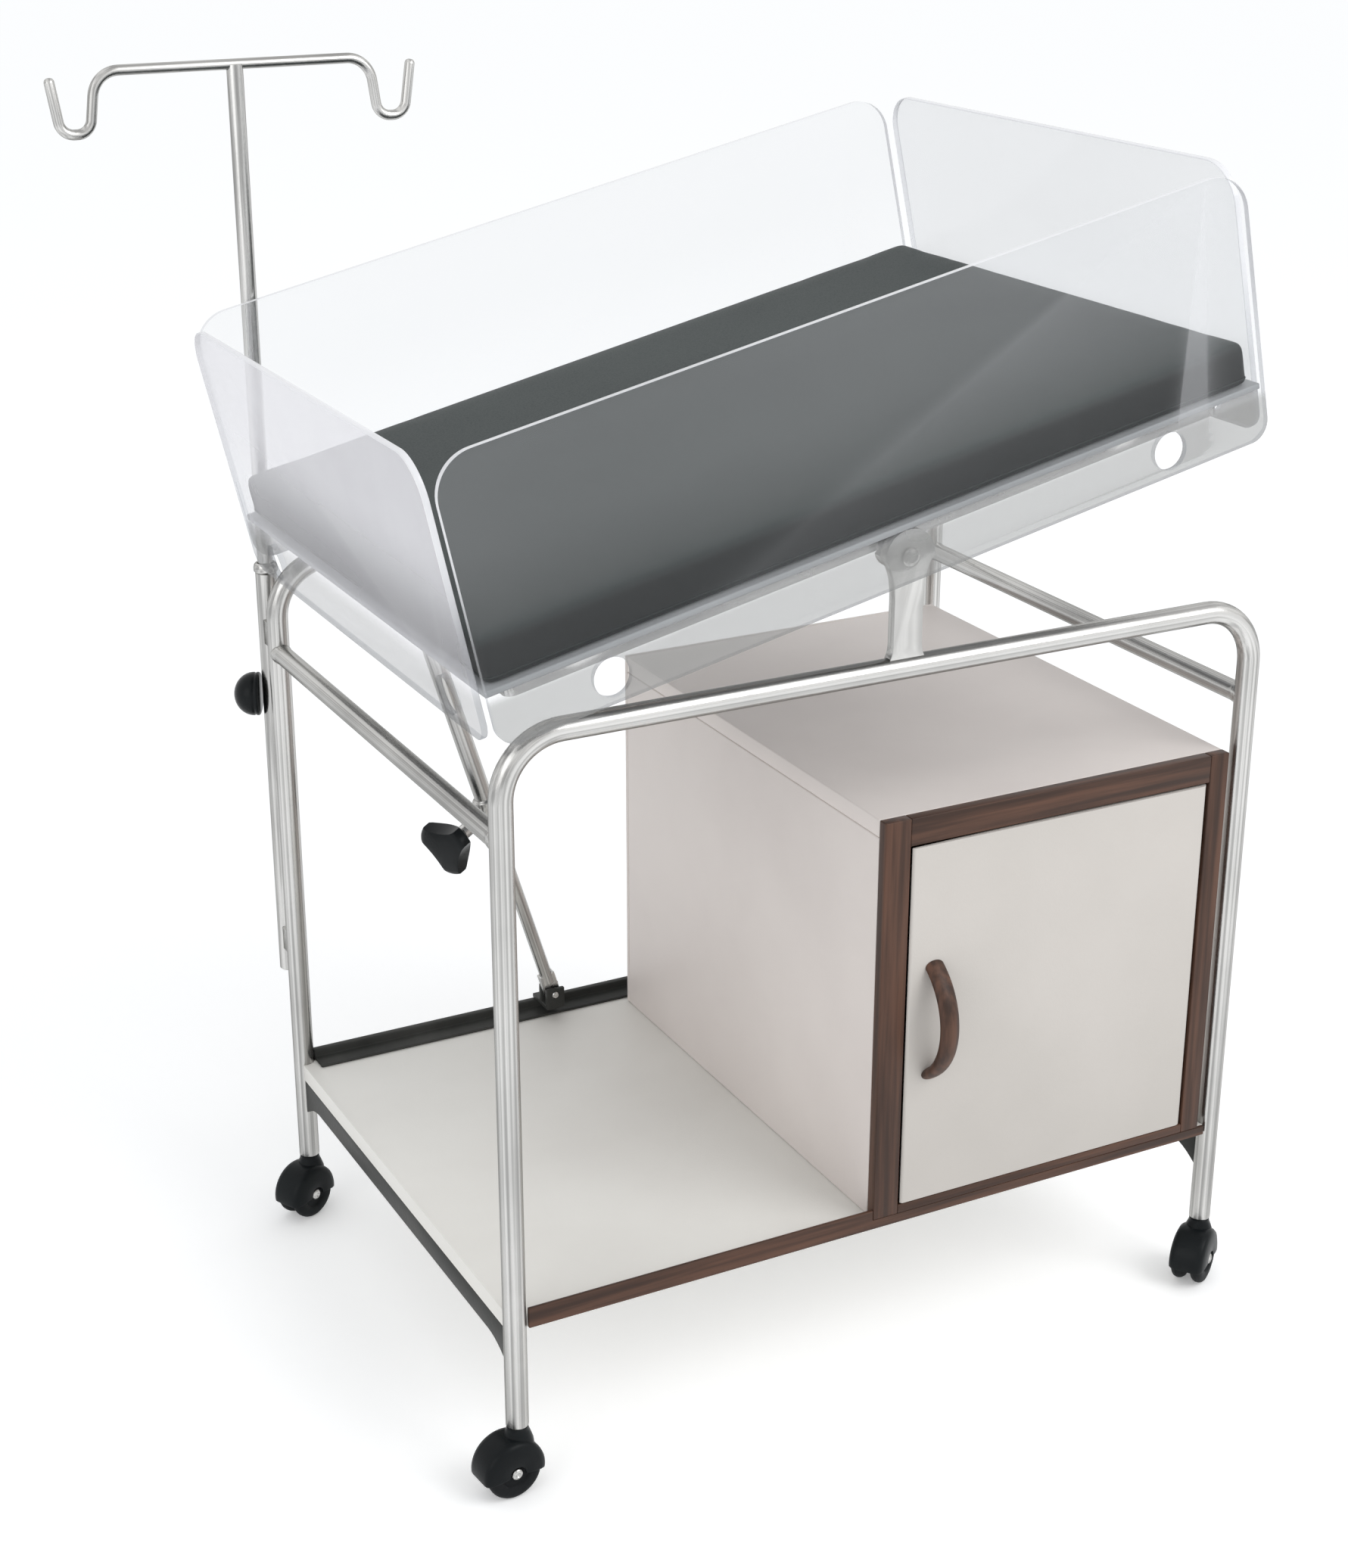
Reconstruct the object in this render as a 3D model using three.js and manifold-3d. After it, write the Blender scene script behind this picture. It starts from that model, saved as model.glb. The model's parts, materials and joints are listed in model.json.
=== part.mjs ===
// Hospital bassinet: a tilting clear tub on a wheeled tube frame with a shelf, a cabinet and a drip pole.
// Millimetres, +Z up. The head end of the tub lies towards -X, the front of the cabinet towards -Y.
// The origin is on the floor below the middle of the whole object.
import * as THREE from "three";
import { mergeVertices } from "three/addons/utils/BufferGeometryUtils.js";
import Module from "manifold-3d";

const wasm = await Module();
wasm.setup();

// Fits between pieces
const SEAT = 0.3;
const RUNNING = 0.4;
const CUT_MARGIN = 1;
const WELD_TOLERANCE = 1e-4;

// Tube frame
const FRAME_LENGTH = 800;
const FRAME_WIDTH = 566;
const TUBE_D = 22;
const RAIL_HEIGHT = 756;
const BEND_RADIUS = 58;
const CROSSBAR_D = 20;
const CROSSBAR_DROP = 94;

// Castors
const CASTOR_HEIGHT = 70;
const WHEEL_D = 56;
const WHEEL_WIDTH = 13;
const WHEEL_SIDE_GAP = 1;
const TREAD_ROUND = 5;
const TREAD_SHOULDER = 2;
const HUB_D = 30;
const HUB_RECESS = 2.5;
const CASTOR_TRAIL = 11;
const CASTOR_WEB = 6;
const AXLE_D = 8;
const HOOD_WALL = 2.6;
const HOOD_GAP = 1.8;
const HOOD_SKIRT_DEG = 8;
const STEM_D = 11;
const STEM_LENGTH = 28;
const NECK_D = 20;
const CASTOR_TURNS = { front_left: 6, front_right: 34, rear_left: 27, rear_right: 12 };

// Lower shelf
const SHELF_TOP = 186;
const SHELF_THICKNESS = 10;
const SHELF_FLANGE = { width: 10, drop: 8 };
const FRONT_OVERHANG = 8;
const SHELF_TRIM = 4;
const SHELF_TRIM_RISE = 11;
const SHELF_RAIL_THICKNESS = 8;
const SHELF_RAIL_HEIGHT = 24;
const SHELF_RAIL_FLARE = { length: 44, drop: 16 };
const REAR_LIP_RISE = 12;
const REAR_LIP_FOOT = { width: 22, thickness: 3 };

// Cabinet
const CABINET_WIDTH = 398;
const CABINET_HEIGHT = 422;
const CABINET_LEG_GAP = 9;
const CABINET_REAR_GAP = 28;
const CABINET_BOARD = 18;
const CABINET_BACK = 6;
const FACE_DEPTH = 12;
const FACE_LEFT = 28;
const FACE_RIGHT = 22;
const FACE_TOP = 28;
const FACE_BOTTOM = 10;
const DOOR_THICKNESS = 16;
const DOOR_GAP = 2;
const DOOR_PROUD = 2;
const DOOR_EDGE_ROUND = 3;
const DOOR_PIN_D = 5;
const DOOR_PIN_DEPTH = 7;
const CATCH_SIZE = { width: 11, depth: 20, height: 32 };
const HANDLE_LENGTH = 128;
const HANDLE_WIDTH = 20;
const HANDLE_REACH = 36;
const HANDLE_THICKNESS = 10;
const HANDLE_ROOT = 16;
const BOW_PULL = 4 / 3;
const BOW_SPREAD = 0.6;
const HANDLE_INSET = 28;
const HANDLE_CENTRE = 198;

// Tub, in its own tilted frame about the pivot
const TILT_DEG = 12.5;
const PIVOT_RISE = 94;
const TUB_LENGTH = 820;
const TUB_HEAD_SHIFT = 18;
const TUB_WALL = 6;
const TUB_DEPTH = 205;
const SKIRT_DEPTH = 52;
const SKIRT_CLEARANCE = 8;
const WALL_TOP_RADIUS = 38;
const WALL_BOTTOM_RADIUS = 20;
const CORNER_GAP = 12;
const SKIRT_HOLE_D = 36;
const SKIRT_HOLE_DROP = 28;
const SIDE_HOLE_INSET = 112;
const END_HOLE_INSET = 72;
const FLOOR_THICKNESS = 6;
const FLOOR_RISE = 38;
const BASE_BAR_WIDTH = 20;
const BASE_BAR_HEIGHT = 20;
const BASE_END_INSET = 28;
const MATTRESS_GAP = 3;
const MATTRESS_THICKNESS = 41;
const MATTRESS_CROWN = 7;
const MATTRESS_WAIST = 4;
const MATTRESS_CORNER = 16;

// Pivot pillars on the rails
const PILLAR_THICKNESS = 10;
const PILLAR_FOOT = 44;
const PILLAR_NECK = 30;
const PILLAR_HEAD_D = 52;
const PILLAR_SHOULDER = 39;
const PILLAR_BASE_GAP = 4;
const PIVOT_PIN_D = 10;
const PIVOT_HEAD_D = 18;
const PIVOT_HEAD = 4;
const LUG_WIDTH = 34;

// Telescopic tilt strut
const STRUT_FOOT_X = -110;
const STRUT_HEAD_REACH = 293;
const STRUT_TUBE_D = 20;
const STRUT_ROD_D = 14;
const STRUT_RAIL_GAP = 4;
const STRUT_CLAMP_AT = 247;
const STRUT_ROD_INSERT = 185;
const STRUT_COLLAR_D = 27;
const STRUT_COLLAR_LENGTH = 34;
const STRUT_BOSS_D = 16;
const STRUT_BOSS_REACH = 48;
const STRUT_BOSS_TURN_DEG = 25;
const TONGUE_THICKNESS = 10;
const TONGUE_D = 18;
const TONGUE_LENGTH = 26;
const LINK_PIN_D = 8;
const LINK_SLOP = 1.6;
const CLEVIS_CHEEK = 5;
const CLEVIS_BASE = 5;
const CLEVIS_WIDTH = 22;
const CLEVIS_SIDE_GAP = 1;
const CLEVIS_PIN_RISE = 12;

// Clamp knobs
const STUD_D = 8;
const STUD_RELEASE = 1;
const CONE_KNOB_D = 66;
const CONE_KNOB_LENGTH = 30;
const CONE_KNOB_NOSE_D = 18;
const CONE_KNOB_RIM = 14;
const KNOB_CHAMFER = 2;
const KNOB_SCALLOPS = 3;
const KNOB_SCALLOP_D = 160;
const KNOB_SCALLOP_BITE = 12;
const DOME_KNOB_D = 46;
const DOME_KNOB_LENGTH = 28;
const DOME_KNOB_TURN_DEG = 27;
const DOME_KNOB_RIM = 5;
const DOME_KNOB_EDGE = 1.5;
const DOME_KNOB_DROP = 134;
const DOME_KNOB_STANDOFF = 2;

// Drip pole
const POLE_D = 16;
const POLE_RISE = 509;
const POLE_INSERT = 238;
const POLE_TUB_GAP = 4;
const GUIDE_D = 22;
const GUIDE_OFFSET = 3;
const GUIDE_RAIL_DROP = 18;
const GUIDE_LENGTH = 453;
const GUIDE_BUSH_D = 25;
const GUIDE_BUSH_HEIGHT = 10;
const GUIDE_BUSH_CHAMFER = 2;
const GUIDE_BLOCK_WIDTH = 14;
const GUIDE_BLOCK_HEIGHT = 26;
const GUIDE_BLOCK_RISE = 40;
const GUIDE_BLOCK_DROP = 22;
const HOOK_BAR_D = 10;
const HOOK_SPAN = 362;
const HOOK_DEPTH = 57;
const HOOK_MOUTH = 44;
const HOOK_TIP_DROP = 4;
const HOOK_SPLAY = 8;
const HOOK_BEND = 13;

// Facets round a full circle
const TUBE_SIDES = 16;
const HOOK_SIDES = 10;
const ROUND_SIDES = 20;
const ARC_SEGMENTS = 6;
const BEND_STEPS = 6;
const MATTRESS_GRID = { length: 20, width: 15, height: 6 };

// Places worked out from the driving sizes
const halfLength = FRAME_LENGTH / 2;
const halfWidth = FRAME_WIDTH / 2;
const tubeR = TUBE_D / 2;
const frontFace = -(halfWidth + FRONT_OVERHANG);
const shelfRear = halfWidth - SHELF_RAIL_THICKNESS / 2 - SEAT;
const lipTop = SHELF_TOP + REAR_LIP_RISE;
const cabinet = {
  left: halfLength - tubeR - CABINET_LEG_GAP - CABINET_WIDTH,
  right: halfLength - tubeR - CABINET_LEG_GAP,
  front: frontFace + FACE_DEPTH + SEAT,
  rear: shelfRear - CABINET_REAR_GAP,
  bottom: SHELF_TOP + SEAT,
  top: SHELF_TOP + CABINET_HEIGHT,
};
const opening = {
  left: cabinet.left + FACE_LEFT,
  right: cabinet.right - FACE_RIGHT,
  bottom: SHELF_TOP + FACE_BOTTOM,
  top: cabinet.top - FACE_TOP,
};
const doorFront = frontFace - DOOR_PROUD;
const doorAxis = {
  x: opening.right - DOOR_GAP - DOOR_THICKNESS / 2,
  y: doorFront + DOOR_THICKNESS / 2,
};
const tilt = THREE.MathUtils.degToRad(TILT_DEG);
const pivotHeight = RAIL_HEIGHT + tubeR + PIVOT_RISE;
const tubHalfWidth = halfWidth + tubeR + SKIRT_CLEARANCE + TUB_WALL;
const tubHalfLength = TUB_LENGTH / 2;
const floorBottom = FLOOR_RISE - FLOOR_THICKNESS;
const baseTop = floorBottom - SEAT;
const baseBottom = baseTop - BASE_BAR_HEIGHT;
const baseHalfWidth = halfWidth - PILLAR_THICKNESS / 2 - PILLAR_BASE_GAP;
const baseHalfLength = tubHalfLength - TUB_WALL - BASE_END_INSET;
const strutY = halfWidth - tubeR - STRUT_RAIL_GAP - STRUT_TUBE_D / 2;
const clevisPin = SEAT + CLEVIS_BASE + CLEVIS_PIN_RISE;
const strutFoot = new THREE.Vector3(STRUT_FOOT_X, strutY, lipTop + clevisPin);
const strutHead = new THREE.Vector3(-STRUT_HEAD_REACH, strutY, baseBottom - clevisPin);
const strutHeadWorld = strutHead
  .clone()
  .applyAxisAngle(new THREE.Vector3(0, 1, 0), -tilt)
  .add(new THREE.Vector3(0, 0, pivotHeight));
const strutSpan = strutHeadWorld.clone().sub(strutFoot);
const strutLength = strutSpan.length();
const strutLean = Math.atan2(strutSpan.x, strutSpan.z);
const bossTurn = THREE.MathUtils.degToRad(STRUT_BOSS_TURN_DEG);
const domeTurn = THREE.MathUtils.degToRad(DOME_KNOB_TURN_DEG);
const crossbarHeight = RAIL_HEIGHT - CROSSBAR_DROP;
const guideTop = RAIL_HEIGHT - GUIDE_RAIL_DROP;
const guideBottom = guideTop - GUIDE_LENGTH;
const poleTop = guideTop + POLE_RISE;
const poleBottom = guideTop - POLE_INSERT;
const poleKnobHeight = guideTop - DOME_KNOB_DROP;
const poleX = -halfLength + GUIDE_OFFSET;
const poleY = tubHalfWidth + POLE_TUB_GAP + POLE_D / 2;

// Finishes
const finish = (color, roughness, metalness, opacity = 1) => () =>
  new THREE.MeshStandardMaterial({ color, roughness, metalness, opacity, transparent: opacity < 1 });
const steel = finish(0xc9ccce, 0.25, 1);
const blackPlastic = finish(0x1d2225, 0.35, 0);
const rubber = finish(0x24282a, 0.7, 0);
const laminate = finish(0xd9d4d0, 0.45, 0);
const doorWhite = finish(0xe6e3e0, 0.4, 0);
const brownTrim = finish(0x523e32, 0.5, 0);
const darkRail = finish(0x41443f, 0.5, 0.3);
const acrylic = finish(0xe4e8ec, 0.08, 0, 0.3);
const floorBoard = finish(0xdfe2e4, 0.3, 0);
const vinyl = finish(0x343c3c, 0.5, 0);

/** A polyline followed knot by knot, so that straight runs take one step and bends take several. */
class BentPath extends THREE.Curve {
  constructor(knots) {
    super();
    this.knots = knots;
  }

  getPoint(t, target = new THREE.Vector3()) {
    const place = t * (this.knots.length - 1);
    const i = Math.min(Math.floor(place), this.knots.length - 2);
    return target.lerpVectors(this.knots[i], this.knots[i + 1], place - i);
  }

  getPointAt(u, target) {
    return this.getPoint(u, target);
  }

  getTangentAt(u, target = new THREE.Vector3()) {
    const last = this.knots.length - 1;
    const i = Math.round(u * last);
    const before = this.knots[Math.max(i - 1, 0)];
    const here = this.knots[i];
    const after = this.knots[Math.min(i + 1, last)];
    const arriving = here.clone().sub(before).normalize();
    const leaving = after.clone().sub(here).normalize();
    return target.copy(arriving).add(leaving).normalize();
  }
}

/** Rounds each inner corner of a polyline with an arc of the given radius. */
function bentPath(corners, radius) {
  const knots = [corners[0]];
  for (let i = 1; i < corners.length - 1; i += 1) {
    const inward = corners[i - 1].clone().sub(corners[i]).normalize();
    const outward = corners[i + 1].clone().sub(corners[i]).normalize();
    const half = inward.angleTo(outward) / 2;
    const bisector = inward.clone().add(outward).normalize();
    const centre = corners[i].clone().addScaledVector(bisector, radius / Math.sin(half));
    const start = corners[i].clone().addScaledVector(inward, radius / Math.tan(half)).sub(centre);
    const axis = bisector.clone().cross(start).normalize();
    const sweep = Math.PI - 2 * half;
    for (let step = 0; step <= BEND_STEPS; step += 1) {
      const spoke = start.clone().applyAxisAngle(axis, (sweep * step) / BEND_STEPS);
      knots.push(centre.clone().add(spoke));
    }
  }
  knots.push(corners[corners.length - 1]);
  return new BentPath(knots);
}

/** A round bar swept along a bent path. */
function bentBar(path, diameter, sides) {
  const section = new THREE.Shape();
  section.absarc(0, 0, diameter / 2, 0, 2 * Math.PI);
  return new THREE.ExtrudeGeometry(section, {
    steps: path.knots.length - 1,
    curveSegments: sides / 2,
    extrudePath: path,
  });
}

/** A round bar between two points. */
function bar(from, to, diameter, sides = TUBE_SIDES) {
  const along = to.clone().sub(from);
  const geometry = new THREE.CylinderGeometry(diameter / 2, diameter / 2, along.length(), sides);
  const turn = new THREE.Quaternion().setFromUnitVectors(new THREE.Vector3(0, 1, 0), along.normalize());
  geometry.applyQuaternion(turn);
  const middle = from.clone().lerp(to, 0.5);
  return geometry.translate(middle.x, middle.y, middle.z);
}

const at = (x, y, z) => new THREE.Vector3(x, y, z);
const uprightBar = (x, y, low, high, diameter) => bar(at(x, y, low), at(x, y, high), diameter);
const crossPin = (x, z, from, to, diameter) => bar(at(x, from, z), at(x, to, z), diameter);

/** A box given by its low and high corners. */
function block([x0, y0, z0], [x1, y1, z1]) {
  const geometry = new THREE.BoxGeometry(x1 - x0, y1 - y0, z1 - z0);
  return geometry.translate((x0 + x1) / 2, (y0 + y1) / 2, (z0 + z1) / 2);
}

/** Extrudes an outline drawn in X and Z along Y. */
function alongY(shape, from, to) {
  const geometry = new THREE.ExtrudeGeometry(shape, {
    depth: to - from,
    bevelEnabled: false,
    curveSegments: ARC_SEGMENTS,
  });
  return geometry.rotateX(Math.PI / 2).translate(0, to, 0);
}

/** Extrudes an outline drawn in Y and Z along X. */
function alongX(shape, from, to) {
  const geometry = new THREE.ExtrudeGeometry(shape, {
    depth: to - from,
    bevelEnabled: false,
    curveSegments: ARC_SEGMENTS,
  });
  const basis = new THREE.Matrix4().makeBasis(at(0, 1, 0), at(0, 0, 1), at(1, 0, 0));
  return geometry.applyMatrix4(basis).translate(from, 0, 0);
}

/** Extrudes an outline drawn in X and Y along Z. */
function alongZ(shape, from, to) {
  const geometry = new THREE.ExtrudeGeometry(shape, {
    depth: to - from,
    bevelEnabled: false,
    curveSegments: ARC_SEGMENTS,
  });
  return geometry.translate(0, 0, from);
}

/** A rectangle whose lower and upper corners have their own radii. */
function roundedRectangle(left, right, bottom, top, lowerRadius, upperRadius) {
  const shape = new THREE.Shape();
  shape.absarc(right - lowerRadius, bottom + lowerRadius, lowerRadius, -Math.PI / 2, 0);
  shape.absarc(right - upperRadius, top - upperRadius, upperRadius, 0, Math.PI / 2);
  shape.absarc(left + upperRadius, top - upperRadius, upperRadius, Math.PI / 2, Math.PI);
  shape.absarc(left + lowerRadius, bottom + lowerRadius, lowerRadius, Math.PI, 1.5 * Math.PI);
  shape.closePath();
  return shape;
}

/** A round hole in an outline. */
function hole(x, y, diameter) {
  return new THREE.Path().absarc(x, y, diameter / 2, 0, 2 * Math.PI);
}

/** Turns a closed profile of radius and height points about the local Z axis. */
function turned(points, sides = ROUND_SIDES) {
  const profile = points.map(([r, h]) => new THREE.Vector2(r, h));
  return new THREE.LatheGeometry(profile, sides).rotateX(Math.PI / 2);
}

function toSolid(geometry) {
  const bare = geometry.clone();
  bare.deleteAttribute("normal");
  bare.deleteAttribute("uv");
  const merged = mergeVertices(bare, WELD_TOLERANCE);
  return new wasm.Manifold(
    new wasm.Mesh({
      numProp: 3,
      vertProperties: Float32Array.from(merged.attributes.position.array),
      triVerts: Uint32Array.from(merged.index.array),
    }),
  );
}

function toGeometry(solid) {
  const { vertProperties, triVerts } = solid.getMesh();
  const geometry = new THREE.BufferGeometry();
  geometry.setAttribute("position", new THREE.BufferAttribute(Float32Array.from(vertProperties), 3));
  geometry.setIndex(new THREE.BufferAttribute(Uint32Array.from(triVerts), 1));
  geometry.computeVertexNormals();
  return geometry;
}

/** Joins the first list of geometries and cuts the second list out of them. */
function carve(joined, cuts = []) {
  let solid = toSolid(joined[0]);
  for (const geometry of joined.slice(1)) {
    solid = solid.add(toSolid(geometry));
  }
  for (const geometry of cuts) {
    solid = solid.subtract(toSolid(geometry));
  }
  return toGeometry(solid);
}

const bassinet = new THREE.Group();

function addPiece(parent, name, geometry, material) {
  const mesh = new THREE.Mesh(geometry, material());
  mesh.name = name;
  parent.add(mesh);
  return mesh;
}

// Legs and rails are two bent hoops, with a socket in each foot for a castor stem
const legEnds = [-1, 1].flatMap((sx) => [-1, 1].map((sy) => ({ x: sx * halfLength, y: sy * halfWidth })));

function legCutter(x, y) {
  return uprightBar(x, y, 0, RAIL_HEIGHT, TUBE_D + 2 * SEAT);
}

function buildHoop(y) {
  const corners = [
    at(-halfLength, y, CASTOR_HEIGHT),
    at(-halfLength, y, RAIL_HEIGHT),
    at(halfLength, y, RAIL_HEIGHT),
    at(halfLength, y, CASTOR_HEIGHT),
  ];
  const tube = bentBar(bentPath(corners, BEND_RADIUS), TUBE_D, TUBE_SIDES);
  const socketTop = CASTOR_HEIGHT + STEM_LENGTH + SEAT;
  const sockets = [-halfLength, halfLength].map((x) =>
    uprightBar(x, y, CASTOR_HEIGHT - SEAT, socketTop, STEM_D + 2 * RUNNING),
  );
  return carve([tube], sockets);
}

function buildCrossbar(x) {
  const tube = crossPin(x, crossbarHeight, -halfWidth, halfWidth, CROSSBAR_D);
  return carve([tube], [legCutter(x, -halfWidth), legCutter(x, halfWidth)]);
}

function buildPillar(y) {
  const foot = PILLAR_FOOT / 2;
  const neck = PILLAR_NECK / 2;
  const head = PILLAR_HEAD_D / 2;
  const footHeight = RAIL_HEIGHT + tubeR / 2;
  const neckHeight = RAIL_HEIGHT + tubeR + neck;
  const shape = new THREE.Shape();
  shape.moveTo(-foot, footHeight);
  shape.lineTo(foot, footHeight);
  shape.quadraticCurveTo(neck, RAIL_HEIGHT + tubeR, neck, neckHeight);
  shape.lineTo(neck, pivotHeight - PILLAR_SHOULDER);
  shape.quadraticCurveTo(neck, pivotHeight - head / 2, head, pivotHeight);
  shape.absarc(0, pivotHeight, head, 0, Math.PI);
  shape.quadraticCurveTo(-neck, pivotHeight - head / 2, -neck, pivotHeight - PILLAR_SHOULDER);
  shape.lineTo(-neck, neckHeight);
  shape.quadraticCurveTo(-neck, RAIL_HEIGHT + tubeR, -foot, footHeight);
  shape.holes.push(hole(0, pivotHeight, PIVOT_PIN_D + 2 * SEAT));
  const plate = alongY(shape, y - PILLAR_THICKNESS / 2, y + PILLAR_THICKNESS / 2);
  const rail = bar(at(-PILLAR_FOOT, y, RAIL_HEIGHT), at(PILLAR_FOOT, y, RAIL_HEIGHT), TUBE_D + 2 * SEAT);
  return carve([plate], [rail]);
}

// The pivot pin has a head outside the pillar and a shoulder in the gap to the tub's base frame
function buildPivotPin(side) {
  const pin = PIVOT_PIN_D / 2;
  const head = PIVOT_HEAD_D / 2;
  const lugInside = baseHalfWidth - BASE_BAR_WIDTH - SEAT;
  const shoulderStart = baseHalfWidth + SEAT;
  const shoulderEnd = halfWidth - PILLAR_THICKNESS / 2 - SEAT;
  const headStart = halfWidth + PILLAR_THICKNESS / 2 + SEAT;
  const headEnd = headStart + PIVOT_HEAD;
  const profile = [
    [0, lugInside],
    [pin, lugInside],
    [pin, shoulderStart],
    [head, shoulderStart],
    [head, shoulderEnd],
    [pin, shoulderEnd],
    [pin, headStart],
    [head, headStart],
    [head, headEnd],
    [0, headEnd],
  ];
  const turn = side < 0 ? Math.PI / 2 : -Math.PI / 2;
  return turned(profile, TUBE_SIDES).rotateX(turn).translate(0, 0, pivotHeight);
}

function buildFrame() {
  addPiece(bassinet, "front_hoop", buildHoop(-halfWidth), steel);
  addPiece(bassinet, "rear_hoop", buildHoop(halfWidth), steel);
  addPiece(bassinet, "left_crossbar", buildCrossbar(-halfLength), steel);
  addPiece(bassinet, "right_crossbar", buildCrossbar(halfLength), steel);
  for (const [side, name] of [[-1, "front"], [1, "rear"]]) {
    addPiece(bassinet, `${name}_pivot_pillar`, buildPillar(side * halfWidth), steel);
    addPiece(bassinet, `${name}_pivot_pin`, buildPivotPin(side), steel);
  }
}

// Shelf board with downturned sides on two flared rails, with a raised rear lip and a brown front edge
function buildShelf() {
  const halfRail = SHELF_RAIL_THICKNESS / 2;
  const bottom = SHELF_TOP - SHELF_THICKNESS;
  const flangeLow = bottom - SHELF_FLANGE.drop;
  const boardEnd = halfLength + halfRail;
  const boardFront = frontFace + SHELF_TRIM + SEAT;
  const plate = block([-boardEnd, boardFront, bottom], [boardEnd, shelfRear, SHELF_TOP]);
  const flanges = [-boardEnd, boardEnd - SHELF_FLANGE.width].map((x) =>
    block([x, -halfWidth, flangeLow], [x + SHELF_FLANGE.width, shelfRear, SHELF_TOP]),
  );
  const notches = legEnds.map(({ x, y }) => legCutter(x, y));
  addPiece(bassinet, "shelf_board", carve([plate, ...flanges], notches), laminate);

  const alongLegs = halfLength - tubeR - SEAT;
  const acrossLegs = halfWidth - tubeR - SEAT;
  const railTop = flangeLow - SEAT;
  const railLow = railTop - SHELF_RAIL_HEIGHT;
  const flareLow = railLow - SHELF_RAIL_FLARE.drop;
  const flareStart = acrossLegs - SHELF_RAIL_FLARE.length;
  const flareTurn = (acrossLegs + flareStart) / 2;
  const profile = new THREE.Shape();
  profile.moveTo(-acrossLegs, flareLow);
  profile.quadraticCurveTo(-flareTurn, railLow, -flareStart, railLow);
  profile.lineTo(flareStart, railLow);
  profile.quadraticCurveTo(flareTurn, railLow, acrossLegs, flareLow);
  profile.lineTo(acrossLegs, railTop);
  profile.lineTo(-acrossLegs, railTop);
  profile.closePath();
  for (const [side, name] of [[-1, "left"], [1, "right"]]) {
    const x = side * halfLength;
    addPiece(bassinet, `shelf_${name}_rail`, alongX(profile, x - halfRail, x + halfRail), darkRail);
  }
  const lipFace = halfWidth - halfRail;
  const lip = block([-alongLegs, lipFace, flangeLow], [alongLegs, halfWidth + halfRail, lipTop]);
  const lipFoot = block(
    [-alongLegs, lipFace - REAR_LIP_FOOT.width, SHELF_TOP + SEAT],
    [alongLegs, halfWidth, SHELF_TOP + SEAT + REAR_LIP_FOOT.thickness],
  );
  addPiece(bassinet, "shelf_rear_lip", carve([lip, lipFoot]), darkRail);

  const trimTop = SHELF_TOP + SHELF_TRIM_RISE;
  const trimStep = cabinet.left - SEAT;
  const trim = new THREE.Shape();
  trim.moveTo(-alongLegs, bottom);
  trim.lineTo(alongLegs, bottom);
  trim.lineTo(alongLegs, SHELF_TOP);
  trim.lineTo(trimStep, SHELF_TOP);
  trim.lineTo(trimStep, trimTop);
  trim.lineTo(-alongLegs, trimTop);
  trim.closePath();
  addPiece(bassinet, "shelf_front_trim", alongY(trim, frontFace, frontFace + SHELF_TRIM), brownTrim);
}

// Cabinet of laminated boards behind a brown face frame
function buildCabinet() {
  const { left, right, front, rear, bottom, top } = cabinet;
  const underTop = top - CABINET_BOARD;
  const sideRear = rear - CABINET_BACK - SEAT;
  const leftSide = block([left, front, bottom], [left + CABINET_BOARD, sideRear, underTop - SEAT]);
  const rightSide = block([right - CABINET_BOARD, front, bottom], [right, sideRear, underTop - SEAT]);
  addPiece(bassinet, "cabinet_left_side", leftSide, laminate);
  addPiece(bassinet, "cabinet_right_side", rightSide, laminate);
  addPiece(bassinet, "cabinet_top", block([left, front, underTop], [right, sideRear, top]), laminate);
  const back = block([left, rear - CABINET_BACK, bottom], [right, rear, top]);
  addPiece(bassinet, "cabinet_back", back, laminate);

  const frame = new THREE.Shape([
    new THREE.Vector2(left, bottom),
    new THREE.Vector2(right, bottom),
    new THREE.Vector2(right, top),
    new THREE.Vector2(left, top),
  ]);
  const inside = roundedRectangle(
    opening.left,
    opening.right,
    opening.bottom,
    opening.top,
    DOOR_EDGE_ROUND,
    DOOR_EDGE_ROUND,
  );
  frame.holes.push(inside);
  const ring = alongY(frame, frontFace, frontFace + FACE_DEPTH);
  const pinHoles = [opening.bottom - DOOR_PIN_DEPTH, opening.top].map((low) =>
    uprightBar(doorAxis.x, doorAxis.y, low, low + DOOR_PIN_DEPTH, DOOR_PIN_D + 2 * SEAT),
  );
  addPiece(bassinet, "cabinet_face_frame", carve([ring], pinHoles), brownTrim);

  const catchLeft = left + CABINET_BOARD + SEAT;
  const catchFront = doorFront + DOOR_THICKNESS + SEAT;
  const catchLow = (opening.bottom + opening.top - CATCH_SIZE.height) / 2;
  const doorCatch = block(
    [catchLeft, catchFront, catchLow],
    [catchLeft + CATCH_SIZE.width, catchFront + CATCH_SIZE.depth, catchLow + CATCH_SIZE.height],
  );
  addPiece(bassinet, "door_catch", doorCatch, blackPlastic);
}

/** Draws one side of a bow that starts and ends on a face and stands out from it by its reach. */
function arch(shape, face, middle, half, reach) {
  const out = face - reach * BOW_PULL;
  const spread = half * BOW_SPREAD;
  shape.bezierCurveTo(out, middle - spread, out, middle + spread, face, middle + half);
}

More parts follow.
